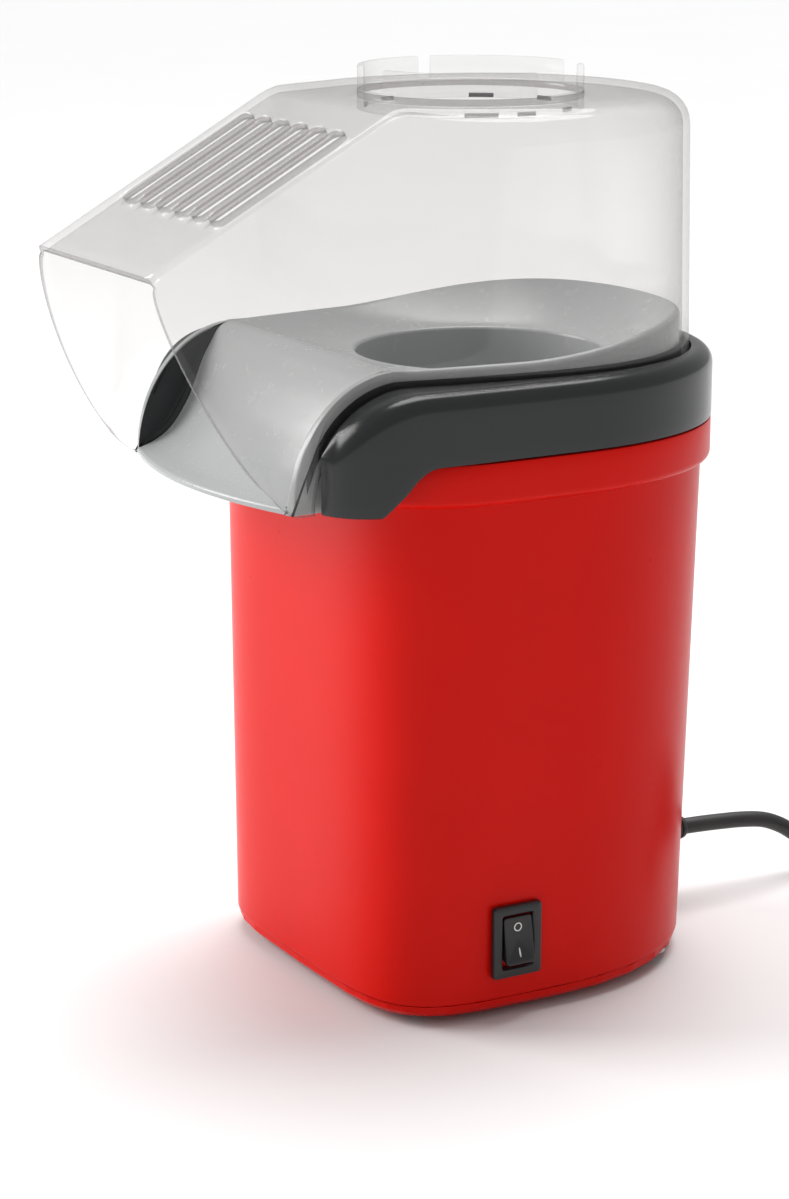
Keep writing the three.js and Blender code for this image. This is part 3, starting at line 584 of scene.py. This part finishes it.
# the deck: rays from the round throat out to the rim, climbing ever more steeply, then rolled over and down
def deckDish():
    d = deckShape
    corner = math.atan2(d["bend"] - d["axis"], d["nose"])
    even = np.arange(d["columns"]) / d["columns"] * 2 * np.pi - np.pi / 2
    turn = np.sort(np.concatenate([even, [corner, np.pi - corner]]))
    rim = reachTo(lambda y: planHalf(y, 0.0), turn, d["bend"], d["rear"], d["axis"])
    rimY = d["axis"] + rim * np.sin(turn)
    rimZ = rimHeight(rimY)
    front = smooth((-rimY - 44) / 4)  # 1 along the straight front, where the rim is not rolled
    roll = d["roll"] * (1 - front)
    start = d["hole"] + d["lip"]
    lipZ = d["holeTop"] - d["roll"]
    rows = [(d["hole"], d["throatLow"]), (d["hole"], lipZ)]
    for a in np.linspace(0, np.pi / 2, 5)[1:]:
        rows.append((start - d["lip"] * np.cos(a), lipZ + d["lip"] * np.sin(a)))
    bowlZ = lipZ + d["lip"]
    for out in np.linspace(0.05, 1, 14):
        rows.append((start + (rim - roll - start) * out, bowlZ + (rimZ - bowlZ) * out ** d["dish"]))
    for a in np.linspace(0, np.pi / 2, 5)[1:]:
        rows.append((rim - roll * (1 - np.sin(a)), rimZ - (roll + 0.5 * front) * (1 - np.cos(a))))
    high, low, inside = d["hem"]
    rows += [(rim, high + 4 * front), (rim, low + 8 * front), (rim - d["wall"], low + 8 * front),
             (rim - d["wall"], inside + 1.5 * front)]
    start = d["hole"] + d["wall"]
    for out in (0.7, 0.3, 0.0):
        z = d["holeTop"] - 2.9 + (rimZ - 2.0 - d["holeTop"]) * out ** d["dish"]
        rows.append((start + (rim - 2.4 - start) * out, z))
    rows.append((start, d["throatLow"]))
    rings = np.array([turnedRow(turn, reach, z, d["axis"]) for reach, z in rows])
    return ringPiece("deckDish", rings, greyPlastic, "grey_plastic", stands=("chute_deck",), sharp=40)


chuteShape = {
    "floor": ((-48, 184), (-51, 183.7), (-53.5, 182.3), (-55.5, 179.6), (-58.4, 174.6), (-60.6, 169),
              (-63, 163), (-67.7, 155.9), (-72.5, 152.2), (-77.8, 150.2)),
    "arc": (-48, 149, 30.3, 35), "bulge": 8.5, "outer": 48, "inner": 45.6, "cuff": 148.5, "foot": 3.0,
    "footTop": 0.28, "lip": 0.9, "paintedShadeFrom": 5, "paintedShadeTo": 10,
    "back": ((-55.0, 148.5), (-54.9, 161.3), (-51.5, 164), (-49.6, 178)), "rows": 44,
}


# the chute: across it run flange, cheek wall, a rounded foot and the floor; along it the flange keeps to a
# quarter ellipse and the floor to a curve whose middle swells forward towards the lip
def chute():
    c = chuteShape
    floor = smoothLine(np.array([(y, z, 0) for y, z in c["floor"]], float), 12)[:, :2]
    length = np.concatenate([[0], np.cumsum(np.linalg.norm(np.diff(floor, axis=0), axis=1))])
    s = np.linspace(0, 1, c["rows"])
    floorY = np.interp(s * length[-1], length, floor[:, 0])
    floorZ = np.interp(s * length[-1], length, floor[:, 1])
    y0, z0, reach, rise = c["arc"]
    arcY = y0 - reach * np.sin(s * np.pi / 2)
    arcZ = z0 + rise * np.cos(s * np.pi / 2)
    fade = smooth(s / 0.25)
    # half of the section, from the flange's outer edge to the middle: x, share of the way up, rise
    side = [(c["outer"], 1.0, -0.6), (c["outer"] - 0.15, 1.0, -0.15), (c["outer"] - 0.6, 1.0, 0.0),
            (c["inner"] + 0.6, 1.0, 0.0), (c["inner"] + 0.15, 1.0, -0.15), (c["inner"], 1.0, -0.6),
            (c["inner"], 0.75, 0), (c["inner"], 0.5, 0), (c["inner"], c["footTop"], 0)]
    sections = []
    for a in np.linspace(0, np.pi / 2, 6)[1:]:
        x = c["inner"] - c["foot"] * (1 - np.cos(a)) * fade
        side.append((x, c["footTop"] * (1 - np.sin(a)) ** 1.6, 0))
    for x in np.linspace(c["inner"] - c["foot"], 0, 12)[1:]:
        side.append((x, 0, 0))
    for x, share, rise in side:
        y = floorY + (arcY - floorY) * share
        z = floorZ + (arcZ - floorZ) * share + rise
        sections.append(np.stack([x + 0 * s, y, z], 1))
    right = np.array(sections)
    left = right[-2::-1] * (-1, 1, 1)
    grid = np.concatenate([right, left]).transpose(1, 0, 2)
    grid[:, :, 1] -= c["bulge"] * (1 - (grid[:, :, 0] / c["outer"]) ** 2) * s[:, None] ** 2
    tip = grid[-1]
    drops = []
    for a in np.linspace(0, np.pi / 2, 5)[1:]:
        row = tip.copy()
        row[:, 1] -= c["lip"] * np.sin(a)
        row[:, 2] = np.maximum(tip[:, 2] - c["lip"] * (1 - np.cos(a)), c["cuff"])
        drops.append(row)
    low = drops[-1].copy()
    low[:, 2] = c["cuff"]
    under = [low]
    for y, z in c["back"]:
        row = tip.copy()
        row[:, 1] = y
        row[:, 2] = z
        under.append(row)
    grid = np.concatenate([grid, drops, under])
    count, columns = grid.shape[:2]
    rowOf = np.repeat(np.arange(count), columns - 1)
    columnOf = np.tile(np.arange(columns - 1), count)
    fromEdge = np.minimum(columnOf, columns - 2 - columnOf)
    # the inner cheek walls' faces take the very dark painted shade
    paintedShadeFaces = (fromEdge >= c["paintedShadeFrom"]) & (fromEdge <= c["paintedShadeTo"]) & (rowOf < c["rows"] - 1) & (rowOf > 1)
    return makePiece("chute", grid, bandFaces(grid), greyPlastic, "grey_plastic", sharp=40,
                     second=(paintedCheekShade, np.concatenate([paintedShadeFaces.astype(int), [0, 0]])))


# painted shadow in the gap between deck and collar: a thin dark band on the deck's side that follows the
# collar's top
shadowGapShape = {"off": 0.04, "thick": 0.34, "above": 1.1, "below": 3.0, "low": 148.7, "edge": 0.6,
               "tip": -74.0, "columns": 300}


def paintedShadowBand():
    g = shadowGapShape
    start = math.atan2(g["tip"], deckShape["nose"])
    turn = np.linspace(start, np.pi - start, g["columns"])

    def reachAt(off):
        return reachTo(lambda y: planHalf(y, off), turn, -90, deckShape["rear"] + off)

    near = reachAt(g["off"])
    far = reachAt(g["off"] + g["thick"])
    rows = []
    for reach, lift, low in ((near, -g["below"], 0), (far, -g["below"], 0), (far, g["above"], g["edge"]),
                             (near, g["above"], g["edge"])):
        z = np.maximum(collarTop(reach * np.sin(turn)) + lift, g["low"] + low)
        rows.append(turnedRow(turn, reach, z))
    rings = np.array(rows)
    # dark plastic stands in for the shadow in the gap
    return makePiece("paintedShadowBand", rings, bandFaces(rings), blackPlastic, "grey_plastic", sharp=40)


deckDish()
chute()
paintedShadowBand()
print("deck and chute made")

hoodShape = {
    "wall": 2.0, "foot": 177.2, "top": 251.5, "fold": -40.5, "foldHalf": 37.4, "mouth": (-112.7, 211.8),
    "mouthHalf": 36, "crown": 56, "seat": 2.6, "rearTop": 64, "spoutRound": 2.6, "crownRound": 9, "soft": 3.0,
    "slotCount": 6, "slotPitch": 10.5, "slotWidth": 7, "slotFrom": 14.5, "slotTo": 56, "peak": 1.8,
    "slotRows": (8, 22), "throat": 31.65, "ringMiddle": 3.5, "widest": 5, "skirt": 186, "power": 2.2,
}
# the hood's open edges: its lower edge follows the chute's cheek, and its mouth is a soft quarter curve
edgeShape = {
    "cheek": (-48, 38.3, 148.5, 37.5), "tip": 0.12, "tipFrom": -79, "tipLong": 5.5, "bottom": (-46, 27.5),
    "low": 148.5, "climb": 28.7, "mouthTurn": 0.94, "mouthReach": 33.8, "mouthTop": 208.5, "mouthTall": 60,
    "mouthPower": 1.54,
}


# height of the roof line: level behind the fold, falling to the mouth in front of it, with a small bend
def roofLine(y):
    h = hoodShape
    fall = (h["top"] - h["mouth"][1]) / (h["fold"] - h["mouth"][0])
    ahead = h["fold"] - y
    soft = h["soft"]
    bend = (ahead + soft) ** 2 / (4 * soft)
    return h["top"] - fall * np.where(ahead > soft, ahead, np.where(ahead < -soft, 0, bend))


# half-width of the roof: straight along the spout, then flaring in a quarter sine to the crown
def roofHalf(y):
    h = hoodShape
    spout = h["foldHalf"] + (h["mouthHalf"] - h["foldHalf"]) * (h["fold"] - y) / (h["fold"] - h["mouth"][0])
    flare = np.sin(np.clip((y - h["fold"]) / -h["fold"], 0, 1) * np.pi / 2)
    return np.where(y < h["fold"], spout, h["foldHalf"] + (h["crown"] - h["foldHalf"]) * flare)


# half-width of the hood at a place on its side: from the roof's half-width down to the deck's
def hoodHalf(y, z):
    h = hoodShape
    front, reach, low, rise = edgeShape["cheek"]
    t = np.clip((front - y) / reach, 0, 1)
    foot = low + rise * np.sqrt(1 - t * t)
    down = np.clip((roofLine(y) - z) / (roofLine(y) - foot), 0, 1)
    return roofHalf(y) + (rimHalf(y) + h["seat"] - roofHalf(y)) * down


# the hood's right side, from the mouth to the widest place, as rows from the bottom to the roof's edge:
# a patch stretched between four edges, then a bend over to the roof; spout and crown are shares of the way
def hoodSide(spout, crown):
    h = hoodShape
    e = edgeShape
    inTip = spout < e["tip"]
    q = np.clip((spout - e["tip"]) / (1 - e["tip"]), 0, 1) * np.pi / 2
    tipY = e["tipFrom"] + e["tipLong"] * spout / e["tip"]
    middle, reach = e["bottom"]
    bottomY = np.concatenate([np.where(inTip, tipY, middle - reach * np.cos(q)),
                              middle + (h["widest"] - middle) * crown])
    bottomZ = np.concatenate([e["low"] + e["climb"] * np.sin(q), np.full_like(crown, h["foot"])])
    topY = np.concatenate([h["mouth"][0] + (h["fold"] - h["mouth"][0]) * spout,
                           h["fold"] + (h["widest"] - h["fold"]) * crown])
    topZ = roofLine(topY)
    lean = plateLean() * (1 - smooth((topY - h["fold"] + 6) / 12))
    normalY, normalZ = -np.sin(lean), np.cos(lean)
    radius = h["spoutRound"] + (h["crownRound"] - h["spoutRound"]) * smooth((topY + 46) / 30)
    upY, upZ = topY - radius * normalY, topZ - radius * normalZ
    v = np.linspace(0, 1, 30)
    a = np.clip(1 - v / e["mouthTurn"], 0, 1) * np.pi / 2
    beyond = np.clip((v - e["mouthTurn"]) / (1 - e["mouthTurn"]), 0, 1)
    mouthY = e["tipFrom"] - e["mouthReach"] * np.cos(a) ** e["mouthPower"]
    mouthZ = e["mouthTop"] - e["mouthTall"] * np.sin(a) ** e["mouthPower"] + beyond
    mouthY = mouthY + (upY[0] - mouthY[-1]) * v ** 4
    mouthZ = mouthZ + (upZ[0] - mouthZ[-1]) * v ** 4
    u = np.concatenate([spout * 0.6, 0.6 + 0.4 * crown])[None, :]
    w = v[:, None]

    # the two opposite blends added, less the blend of the corners
    def patch(bottom, top, left, right):
        corners = (1 - u) * ((1 - w) * bottom[0] + w * top[0]) + u * ((1 - w) * bottom[-1] + w * top[-1])
        return (1 - w) * bottom + w * top + (1 - u) * left[:, None] + u * right[:, None] - corners

    sideY = patch(bottomY, upY, mouthY, np.full_like(v, float(h["widest"])))
    sideZ = patch(bottomZ, upZ, mouthZ, bottomZ[-1] + (upZ[-1] - bottomZ[-1]) * v)
    bend = np.linspace(0, np.pi / 2, 8)[1:, None]
    sideY = np.vstack([sideY, topY - radius * (1 - np.sin(bend)) * normalY])
    sideZ = np.vstack([sideZ, topZ - radius * (1 - np.sin(bend)) * normalZ])
    inset = np.vstack([np.zeros((len(v), len(topY))), radius * (1 - np.cos(bend))])
    return np.stack([hoodHalf(sideY, sideZ) - inset, sideY, sideZ], -1), inset[:, -1:]


# the angle at which the sloping plate falls to the mouth
def plateLean():
    h = hoodShape
    return math.atan2(h["top"] - h["mouth"][1], h["fold"] - h["mouth"][0])


# the rounded back, which joins the two sides at their widest place
def hoodBack(edge, inset):
    h = hoodShape
    turn = np.linspace(0, np.pi, 66)[1:-1]
    z = edge[:, 2:]
    down = np.clip((h["top"] - z) / (h["top"] - h["skirt"]), 0, 1)
    rear = h["rearTop"] + (deckShape["rear"] + h["seat"] - h["rearTop"]) * down
    depth = rear - h["widest"] - inset
    power = h["power"]
    reach = ((np.abs(np.cos(turn)) / edge[:, :1]) ** power + (np.sin(turn) / depth) ** power) ** (-1 / power)
    return turnedRow(turn, reach, z, h["widest"])


# the hood: two sides and a back, the sloping plate with its slots, and a roof round the ring's throat
def hoodCover():
    h = hoodShape
    slopeLength = math.hypot(h["fold"] - h["mouth"][0], h["top"] - h["mouth"][1])
    along = np.concatenate([np.linspace(slopeLength, h["slotTo"], 9)[:-1],
                            np.linspace(h["slotTo"], h["slotFrom"], 15)[:-1],
                            np.linspace(h["slotFrom"], 0, 8)])
    right, inset = hoodSide(1 - along / slopeLength, np.linspace(0, 1, 22)[1:])
    foldColumn = len(along) - 1
    sides = np.concatenate([right, hoodBack(right[:, -1], inset), right[:, ::-1] * (-1, 1, 1)], 1)
    points = [sides.reshape(-1, 3)]
    faces = [gridFaces(*sides.shape[:2])]
    count = sides.shape[0] * sides.shape[1]

    # sloping plate: columns stand at the slots' edges, and faces inside a slot are left out
    middles = (np.arange(h["slotCount"]) - (h["slotCount"] - 1) / 2) * h["slotPitch"]
    steps = np.array([-1, -0.6, 0, 0.6, 1]) * h["slotWidth"] / 2
    inner = (middles[:, None] + steps).ravel()
    edge = sides[-1, :foldColumn + 1]
    reachOut = edge[:, :1]
    near = inner[-1] + (reachOut - inner[-1]) * 0.5
    plateX = np.hstack([-reachOut, -near, np.tile(inner, (len(edge), 1)), near, reachOut])
    bow = np.concatenate([[0, 0], np.tile(1 - (steps / steps[-1]) ** 2, h["slotCount"]), [0, 0]])
    rows = np.arange(len(edge))[:, None]
    first, last = h["slotRows"]
    shift = bow * h["peak"] * (np.where(rows == last, 1, 0) + np.where(rows == first, -0.6, 0))
    plateY = edge[:, 1:2] + shift * math.cos(plateLean())
    plateZ = edge[:, 2:3] + shift * math.sin(plateLean())
    plate = np.stack([plateX, plateY, plateZ], -1)
    plateFaces = gridFaces(*plate.shape[:2])
    columns = plate.shape[1] - 1
    rowOf = np.repeat(np.arange(len(edge) - 1), columns)
    columnOf = np.tile(np.arange(columns), len(edge) - 1)
    amongSlots = (rowOf >= first) & (rowOf < last) & (columnOf >= 2) & (columnOf < columns - 2)
    inSlot = amongSlots & ((columnOf - 2) % len(steps) < len(steps) - 1)
    points.append(plate.reshape(-1, 3))
    faces.append(plateFaces[~inSlot][:, ::-1] + count)
    count += plate.shape[0] * plate.shape[1]

    # roof: rays from the ring's throat out to the sides' upper edge
    rest = sides[-1, foldColumn + 1:sides.shape[1] - foldColumn - 1]
    loop = np.vstack([plate[-1], rest])
    centre = np.array([0, h["ringMiddle"]])
    ray = loop[:, :2] - centre
    throat = centre + ray / np.linalg.norm(ray, axis=1)[:, None] * h["throat"]
    rings = []
    for share in np.linspace(0, 1, 7):
        flat = loop[:, :2] + (throat - loop[:, :2]) * share
        height = loop[:, 2:] + (h["top"] - loop[:, 2:]) * min(share * 3, 1)
        rings.append(np.hstack([flat, height]))
    points += rings
    faces.append(gridFaces(len(rings), len(loop), closeColumns=True) + count)
    piece = makePiece("hoodCover", np.vstack(points), np.vstack(faces), clearHood, "clear_plastic",
                      body="hood", stands=("hood",), sharp=32, mend=True)
    piece.data.materials.append(hoodEdge)
    solidify(piece, h["wall"]).material_offset_rim = 1
    return piece


ringShape = {
    "outer": 31.6, "inner": 29.8, "low": 246.2, "top": 258.2, "cut": 251.7,
    "notches": ((4, 59), (67, 92), (171, 179), (251, 280)),
}


# the filler ring: a wall carried round a circle, whose top drops in the notches
def fillerRing():
    r = ringShape
    marks = []
    for low, high in r["notches"]:
        marks += [low - 0.01, low + 0.3, high - 0.3, high + 0.01]
    turn = np.sort(np.concatenate([np.arange(0, 360, 2.5), marks]))
    top = np.full_like(turn, r["top"])
    for low, high in r["notches"]:
        top = np.where((turn > low) & (turn < high), r["cut"], top)
    section = [(r["outer"], r["low"]), (r["outer"], top - 0.4), (r["outer"] - 0.35, top),
               (r["inner"] + 0.35, top), (r["inner"], top - 0.4), (r["inner"], r["low"])]
    middle = hoodShape["ringMiddle"]
    rings = np.array([turnedRow(np.radians(turn), reach, z, middle) for reach, z in section])
    return ringPiece("fillerRing", rings, clearRing, "clear_plastic", body="hood", sharp=30)


windowShape = {
    "outer": 29.6, "inner": 28.9, "low": 246.4, "top": 247.6, "bevel": 0.15, "steps": 12,
    "spans": ((-34, -16), (-5, 6), (30, 40), (98, 108), (136, 150), (198, 208), (230, 240)),
}


# the dark catches in the ring's foot: short bars bent along a circle
def ringWindows():
    r = windowShape
    points, faces = [], []
    section = [(r["outer"], r["low"]), (r["outer"], r["top"] - r["bevel"]),
               (r["outer"] - r["bevel"], r["top"]), (r["inner"] + r["bevel"], r["top"]),
               (r["inner"], r["top"] - r["bevel"]), (r["inner"], r["low"])]
    reach, height = np.array(section).T[:, :, None]
    for number, span in enumerate(r["spans"]):
        turn = np.radians(np.linspace(*span, r["steps"]))[None, :]
        bar = turnedRow(turn, reach, height, hoodShape["ringMiddle"])
        points.append(bar.reshape(-1, 3))
        faces += bandFaces(bar, number * len(points[0]))
    return makePiece("ringWindows", np.vstack(points), faces, smokedPlastic, "clear_plastic", body="hood",
                     sharp=40, mend=True)


hoodCover()
fillerRing()
ringWindows()
print("hood made")

# the switch stands on the tower's right side, and the rocker leans in it
switchShape = {"y": -16, "z": 23.2, "wide": 15.6, "tall": 21, "corner": 1.1, "back": 59.4, "face": 61,
               "wellWide": 9.8, "wellTall": 15.4, "wellBack": 54}
rockerShape = {"wide": 9.1, "tall": 13.6, "corner": 0.9, "pivot": 59, "lean": -10, "valley": 1.9, "ends": 3.0,
               "back": -3.5, "mark": 0.12}


# rounded rectangle about (0, 0): quarter circles at the corners, joined by straight sides
def roundedBox(wide, tall, corner):
    turn = np.linspace(0, np.pi / 2, 8)
    arcs = []
    for k, (sx, sy) in enumerate(((1, 1), (-1, 1), (-1, -1), (1, -1))):
        a = turn + k * np.pi / 2
        arcs.append(np.stack([sx * (wide / 2 - corner) + corner * np.cos(a),
                              sy * (tall / 2 - corner) + corner * np.sin(a)], 1))
    return np.vstack(arcs)


# the switch's bezel: rounded-box rings over its face and down into the well
def switchBezel():
    s = switchShape
    wide, tall, corner, face = (s[key] for key in ("wide", "tall", "corner", "face"))
    wellWide, wellTall = s["wellWide"], s["wellTall"]
    rows = []
    for x, w, h, r in (
            (s["back"], wide, tall, corner), (face - 0.7, wide, tall, corner),
            (face - 0.2, wide - 0.4, tall - 0.4, corner - 0.2), (face, wide - 1.2, tall - 1.2, corner - 0.4),
            (face, wellWide + 0.8, wellTall + 0.8, 1.0), (face - 0.4, wellWide, wellTall, 0.6),
            (s["wellBack"], wellWide, wellTall, 0.6), (s["wellBack"], wellWide + 2, wellTall + 2, 0.8),
            (s["back"], wellWide + 2, wellTall + 2, 0.8)):
        flat = roundedBox(w, h, r)
        rows.append(np.stack([np.full(len(flat), x), flat[:, 0] + s["y"], flat[:, 1] + s["z"]], 1))
    return ringPiece("switchBezel", np.array(rows), switchPlastic, "switch_plastic",
                     stands=("switch_housing",), sharp=40)


# how far the rocker's face stands out at each height: a shallow valley between its two ends
def rockerFace(v):
    r = rockerShape
    return r["valley"] + (r["ends"] - r["valley"]) * (np.abs(v) / (r["tall"] / 2)) ** 1.5


# a place on the rocker, u out from its pivot and v up its face, leaned back with it
def leaned(u, across, v):
    r = rockerShape
    lean = math.radians(r["lean"])
    x = r["pivot"] + u * math.cos(lean) + v * math.sin(lean)
    z = switchShape["z"] - u * math.sin(lean) + v * math.cos(lean)
    return np.stack([x, across + switchShape["y"], z], -1)


# the rocker: rounded-box rings up its sides, over a soft edge, then shrinking to the middle of its face
def rockerKey():
    r = rockerShape
    rows = []
    for depth, inset in ((0, 1.2), (0.02, 0.9)):
        flat = roundedBox(r["wide"] - inset, r["tall"] * 0.5, r["corner"])
        rows.append(leaned(np.full(len(flat), r["back"]) + depth, flat[:, 0], flat[:, 1]))
    for sink, inset in ((1.2, 0), (0.55, 0), (0.25, 0.12), (0.08, 0.3), (0, 0.6)):
        flat = roundedBox(r["wide"] - inset, r["tall"] - inset, r["corner"])
        rows.append(leaned(rockerFace(flat[:, 1]) - sink, flat[:, 0], flat[:, 1]))
    for share in (0.85, 0.7, 0.55, 0.4, 0.25, 0.1, 0.0):
        flat = roundedBox(r["wide"] - 0.6, r["tall"] - 0.6, r["corner"]) * share
        rows.append(leaned(rockerFace(flat[:, 1]), flat[:, 0], flat[:, 1]))
    rings = np.array(rows)
    columns = rings.shape[1]
    faces = gridFaces(rings.shape[0], columns, closeColumns=True).tolist() + [list(range(columns))[::-1]]
    return makePiece("rockerKey", rings, faces, switchPlastic, "switch_plastic", body="rocker",
                     stands=("rocker",), sharp=45)


# a painted mark, a hair above the rocker's face: a flat loop between two ellipses, given by their half-sizes
def rockerMark(name, outer, inner, middle):
    turn = np.linspace(0, 2 * np.pi, 40, endpoint=False)
    high = rockerShape["mark"]
    rows = []
    for (a, b), lift in ((outer, -0.05), (outer, high), (inner, high), (inner, -0.05)):
        v = middle + b * np.sin(turn)
        rows.append(leaned(rockerFace(v) + lift, a * np.cos(turn), v))
    return ringPiece(name, np.array(rows), markPaint, "switch_plastic", body="rocker", sharp=60)


switchBezel()
rockerKey()
rockerMark("markOff", (1.25, 1.25), (0.95, 0.95), 3.7)
rockerMark("markOn", (0.2, 1.35), (0.02, 1.1), -3.5)
print("switch made")

reliefShape = {"height": 22.3, "start": 59, "end": 81.2, "columns": 36, "ribs": 5, "bore": 2.62}


# the strain relief: a turned profile along the cord, with ribs that grow smaller towards the end
def strainRelief():
    r = reliefShape
    profile = [(r["bore"], r["start"]), (6.2, r["start"]), (6.6, r["start"] + 0.5), (6.6, 62.1), (6.2, 62.6),
               (4.5, 62.6), (4.5, 67.7), (5.9, 68.2), (6.0, 69.2)]
    place = np.linspace(70.2, r["end"] - 0.5, r["ribs"] * 8 + 1)
    share = (place - place[0]) / (place[-1] - place[0])
    ribs = 5.6 + (3.5 - 5.6) * share - 0.42 * np.clip(np.sin(share * r["ribs"] * 2 * np.pi) * 2, 0, 1)
    profile += list(zip(ribs, place)) + [(3.2, r["end"]), (r["bore"], r["end"] - 0.1)]
    reach, along = np.array(profile).T
    turn = (np.arange(r["columns"]) / r["columns"] * 2 * np.pi)[None, :]
    rings = np.stack([reach[:, None] * np.cos(turn), along[:, None] + 0 * turn,
                      r["height"] + reach[:, None] * np.sin(turn)], -1)
    return ringPiece("strainRelief", rings, cordRubber, "cord_rubber", stands=("strain_relief",))


plugShape = {"x": 61.6, "z": 6.8, "back": 139.4, "long": 27, "columns": 48, "pins": (-4, 4), "pinRadius": 1.7}


# the plug: sections whose width, height and squareness change from the cord's collar to the flat face
def plugBody():
    p = plugShape
    stations = [(0, 2.75, 2.75, 2), (0.01, 3.0, 3.0, 2), (1.2, 3.4, 3.3, 2), (2.2, 3.0, 3.0, 2),
                (3.4, 3.7, 3.6, 2), (4.4, 3.3, 3.3, 2), (6, 4.2, 4.0, 2), (9, 5.6, 5.0, 2.2),
                (12, 7.2, 5.7, 2.6), (15, 7.9, 5.9, 3.0), (17, 7.7, 5.6, 3.0), (19, 7.7, 5.6, 3.0),
                (21, 7.95, 6.0, 3.2), (p["long"] - 1, 7.95, 6.1, 3.4), (p["long"] - 0.3, 7.7, 5.9, 3.4),
                (p["long"], 7.2, 5.4, 3.2), (p["long"], 0, 0, 2)]
    turn = np.arange(p["columns"]) / p["columns"] * 2 * np.pi
    rings = np.array([
        np.stack([p["x"] + w * np.sign(np.cos(turn)) * np.abs(np.cos(turn)) ** (2 / k),
                  np.full_like(turn, p["back"] - along),
                  p["z"] + h * np.sign(np.sin(turn)) * np.abs(np.sin(turn)) ** (2 / k)], 1)
        for along, w, h, k in stations])
    faces = gridFaces(*rings.shape[:2], closeColumns=True).tolist() + [list(range(p["columns"]))[::-1]]
    return makePiece("plugBody", rings, faces, cordRubber, "cord_rubber", stands=("plug_body",))


# a pin: a turned profile along the plug with a domed end and a sleeve at its root
def plugPin(number, dx):
    p = plugShape
    root = p["back"] - p["long"]
    profile = np.array([(0, root + 0.1), (1.45, root + 0.1), (1.45, root - 5), (p["pinRadius"], root - 5.2),
                        (p["pinRadius"], root - 12.4), (1.4, root - 13.3), (0.7, root - 13.55),
                        (0, root - 13.6)])
    turn = (np.arange(24) / 24 * 2 * np.pi)[None, :]
    rings = np.stack([p["x"] + dx + profile[:, :1] * np.cos(turn), profile[:, 1:] + 0 * turn,
                      p["z"] + profile[:, :1] * np.sin(turn)], -1)
    faces = gridFaces(*rings.shape[:2], closeColumns=True)
    return makePiece(f"plugPin{number}", rings, faces, brass, "brass", stands=(f"plug_pin_{number}",))


tieShape = {"x": 29.5, "y": 198.6, "half": 2.6, "wide": 13.2, "low": 0.1, "high": 11.6, "thick": 0.5}


# the tie: a soft band round the bundle of turns
def cordTie():
    t = tieShape
    tall = t["high"] - t["low"]
    middle = (t["low"] + t["high"]) / 2
    inner = -2 * t["thick"]
    rows = []
    for dx, grow in ((-t["half"], 0), (-t["half"], inner), (t["half"], inner), (t["half"], 0)):
        flat = roundedBox(t["wide"] + grow, tall + grow, 2.4 + grow / 2)
        rows.append(np.stack([np.full(len(flat), t["x"] + dx), flat[:, 0] + t["y"], flat[:, 1] + middle], 1))
    return ringPiece("cordTie", np.array(rows), blackPlastic, "black_plastic", stands=("cord_tie",), sharp=40)


strainRelief()
onCord = [plugBody(), cordTie()] + [plugPin(number + 1, dx) for number, dx in enumerate(plugShape["pins"])]
print("cord entry and plug made")

# table top, daylight from behind and a panel on the front
stage = {"half": 14.0, "drop": -0.0002}
flat = np.array([(-1, -1), (1, -1), (1, 1), (-1, 1)]) * stage["half"]
topMesh = bpy.data.meshes.new("tableTop")
topMesh.from_pydata([(x, y, stage["drop"]) for x, y in flat], [], [(0, 1, 2, 3)])
topMesh.materials.append(paleTop("paleTop"))
placed("tableTop", topMesh)

world = bpy.data.worlds.new("room")
bpy.context.scene.world = world
world.use_nodes = True
world.node_tree.nodes["Background"].inputs["Color"].default_value = (1, 1, 1, 1)
world.node_tree.nodes["Background"].inputs["Strength"].default_value = 0.46

daylight = {"from": (-0.22, 0.26, 1.0), "strength": 2.95, "softness": 44}
sun = bpy.data.lights.new("daylight", "SUN")
sun.energy = daylight["strength"]
sun.angle = math.radians(daylight["softness"])
placed("daylight", sun).rotation_euler = Vector(daylight["from"]).to_track_quat("Z", "Y").to_euler()

frontPanel = {"place": (-1.0, -1.05, 0.75), "aim": (0, 0, 0.12), "size": (0.8, 1.0), "power": 24}
panel = bpy.data.lights.new("frontPanel", "AREA")
panel.shape = "RECTANGLE"
panel.size, panel.size_y = frontPanel["size"]
panel.energy = frontPanel["power"]
panelHolder = placed("frontPanel", panel)
panelHolder.location = frontPanel["place"]
shining = Vector(frontPanel["aim"]) - Vector(frontPanel["place"])
panelHolder.rotation_euler = shining.to_track_quat("-Z", "Y").to_euler()
bpy.context.scene.view_settings.view_transform = "Standard"
bpy.context.scene.cycles.transparent_max_bounces = 32
print("table top and lamps placed")
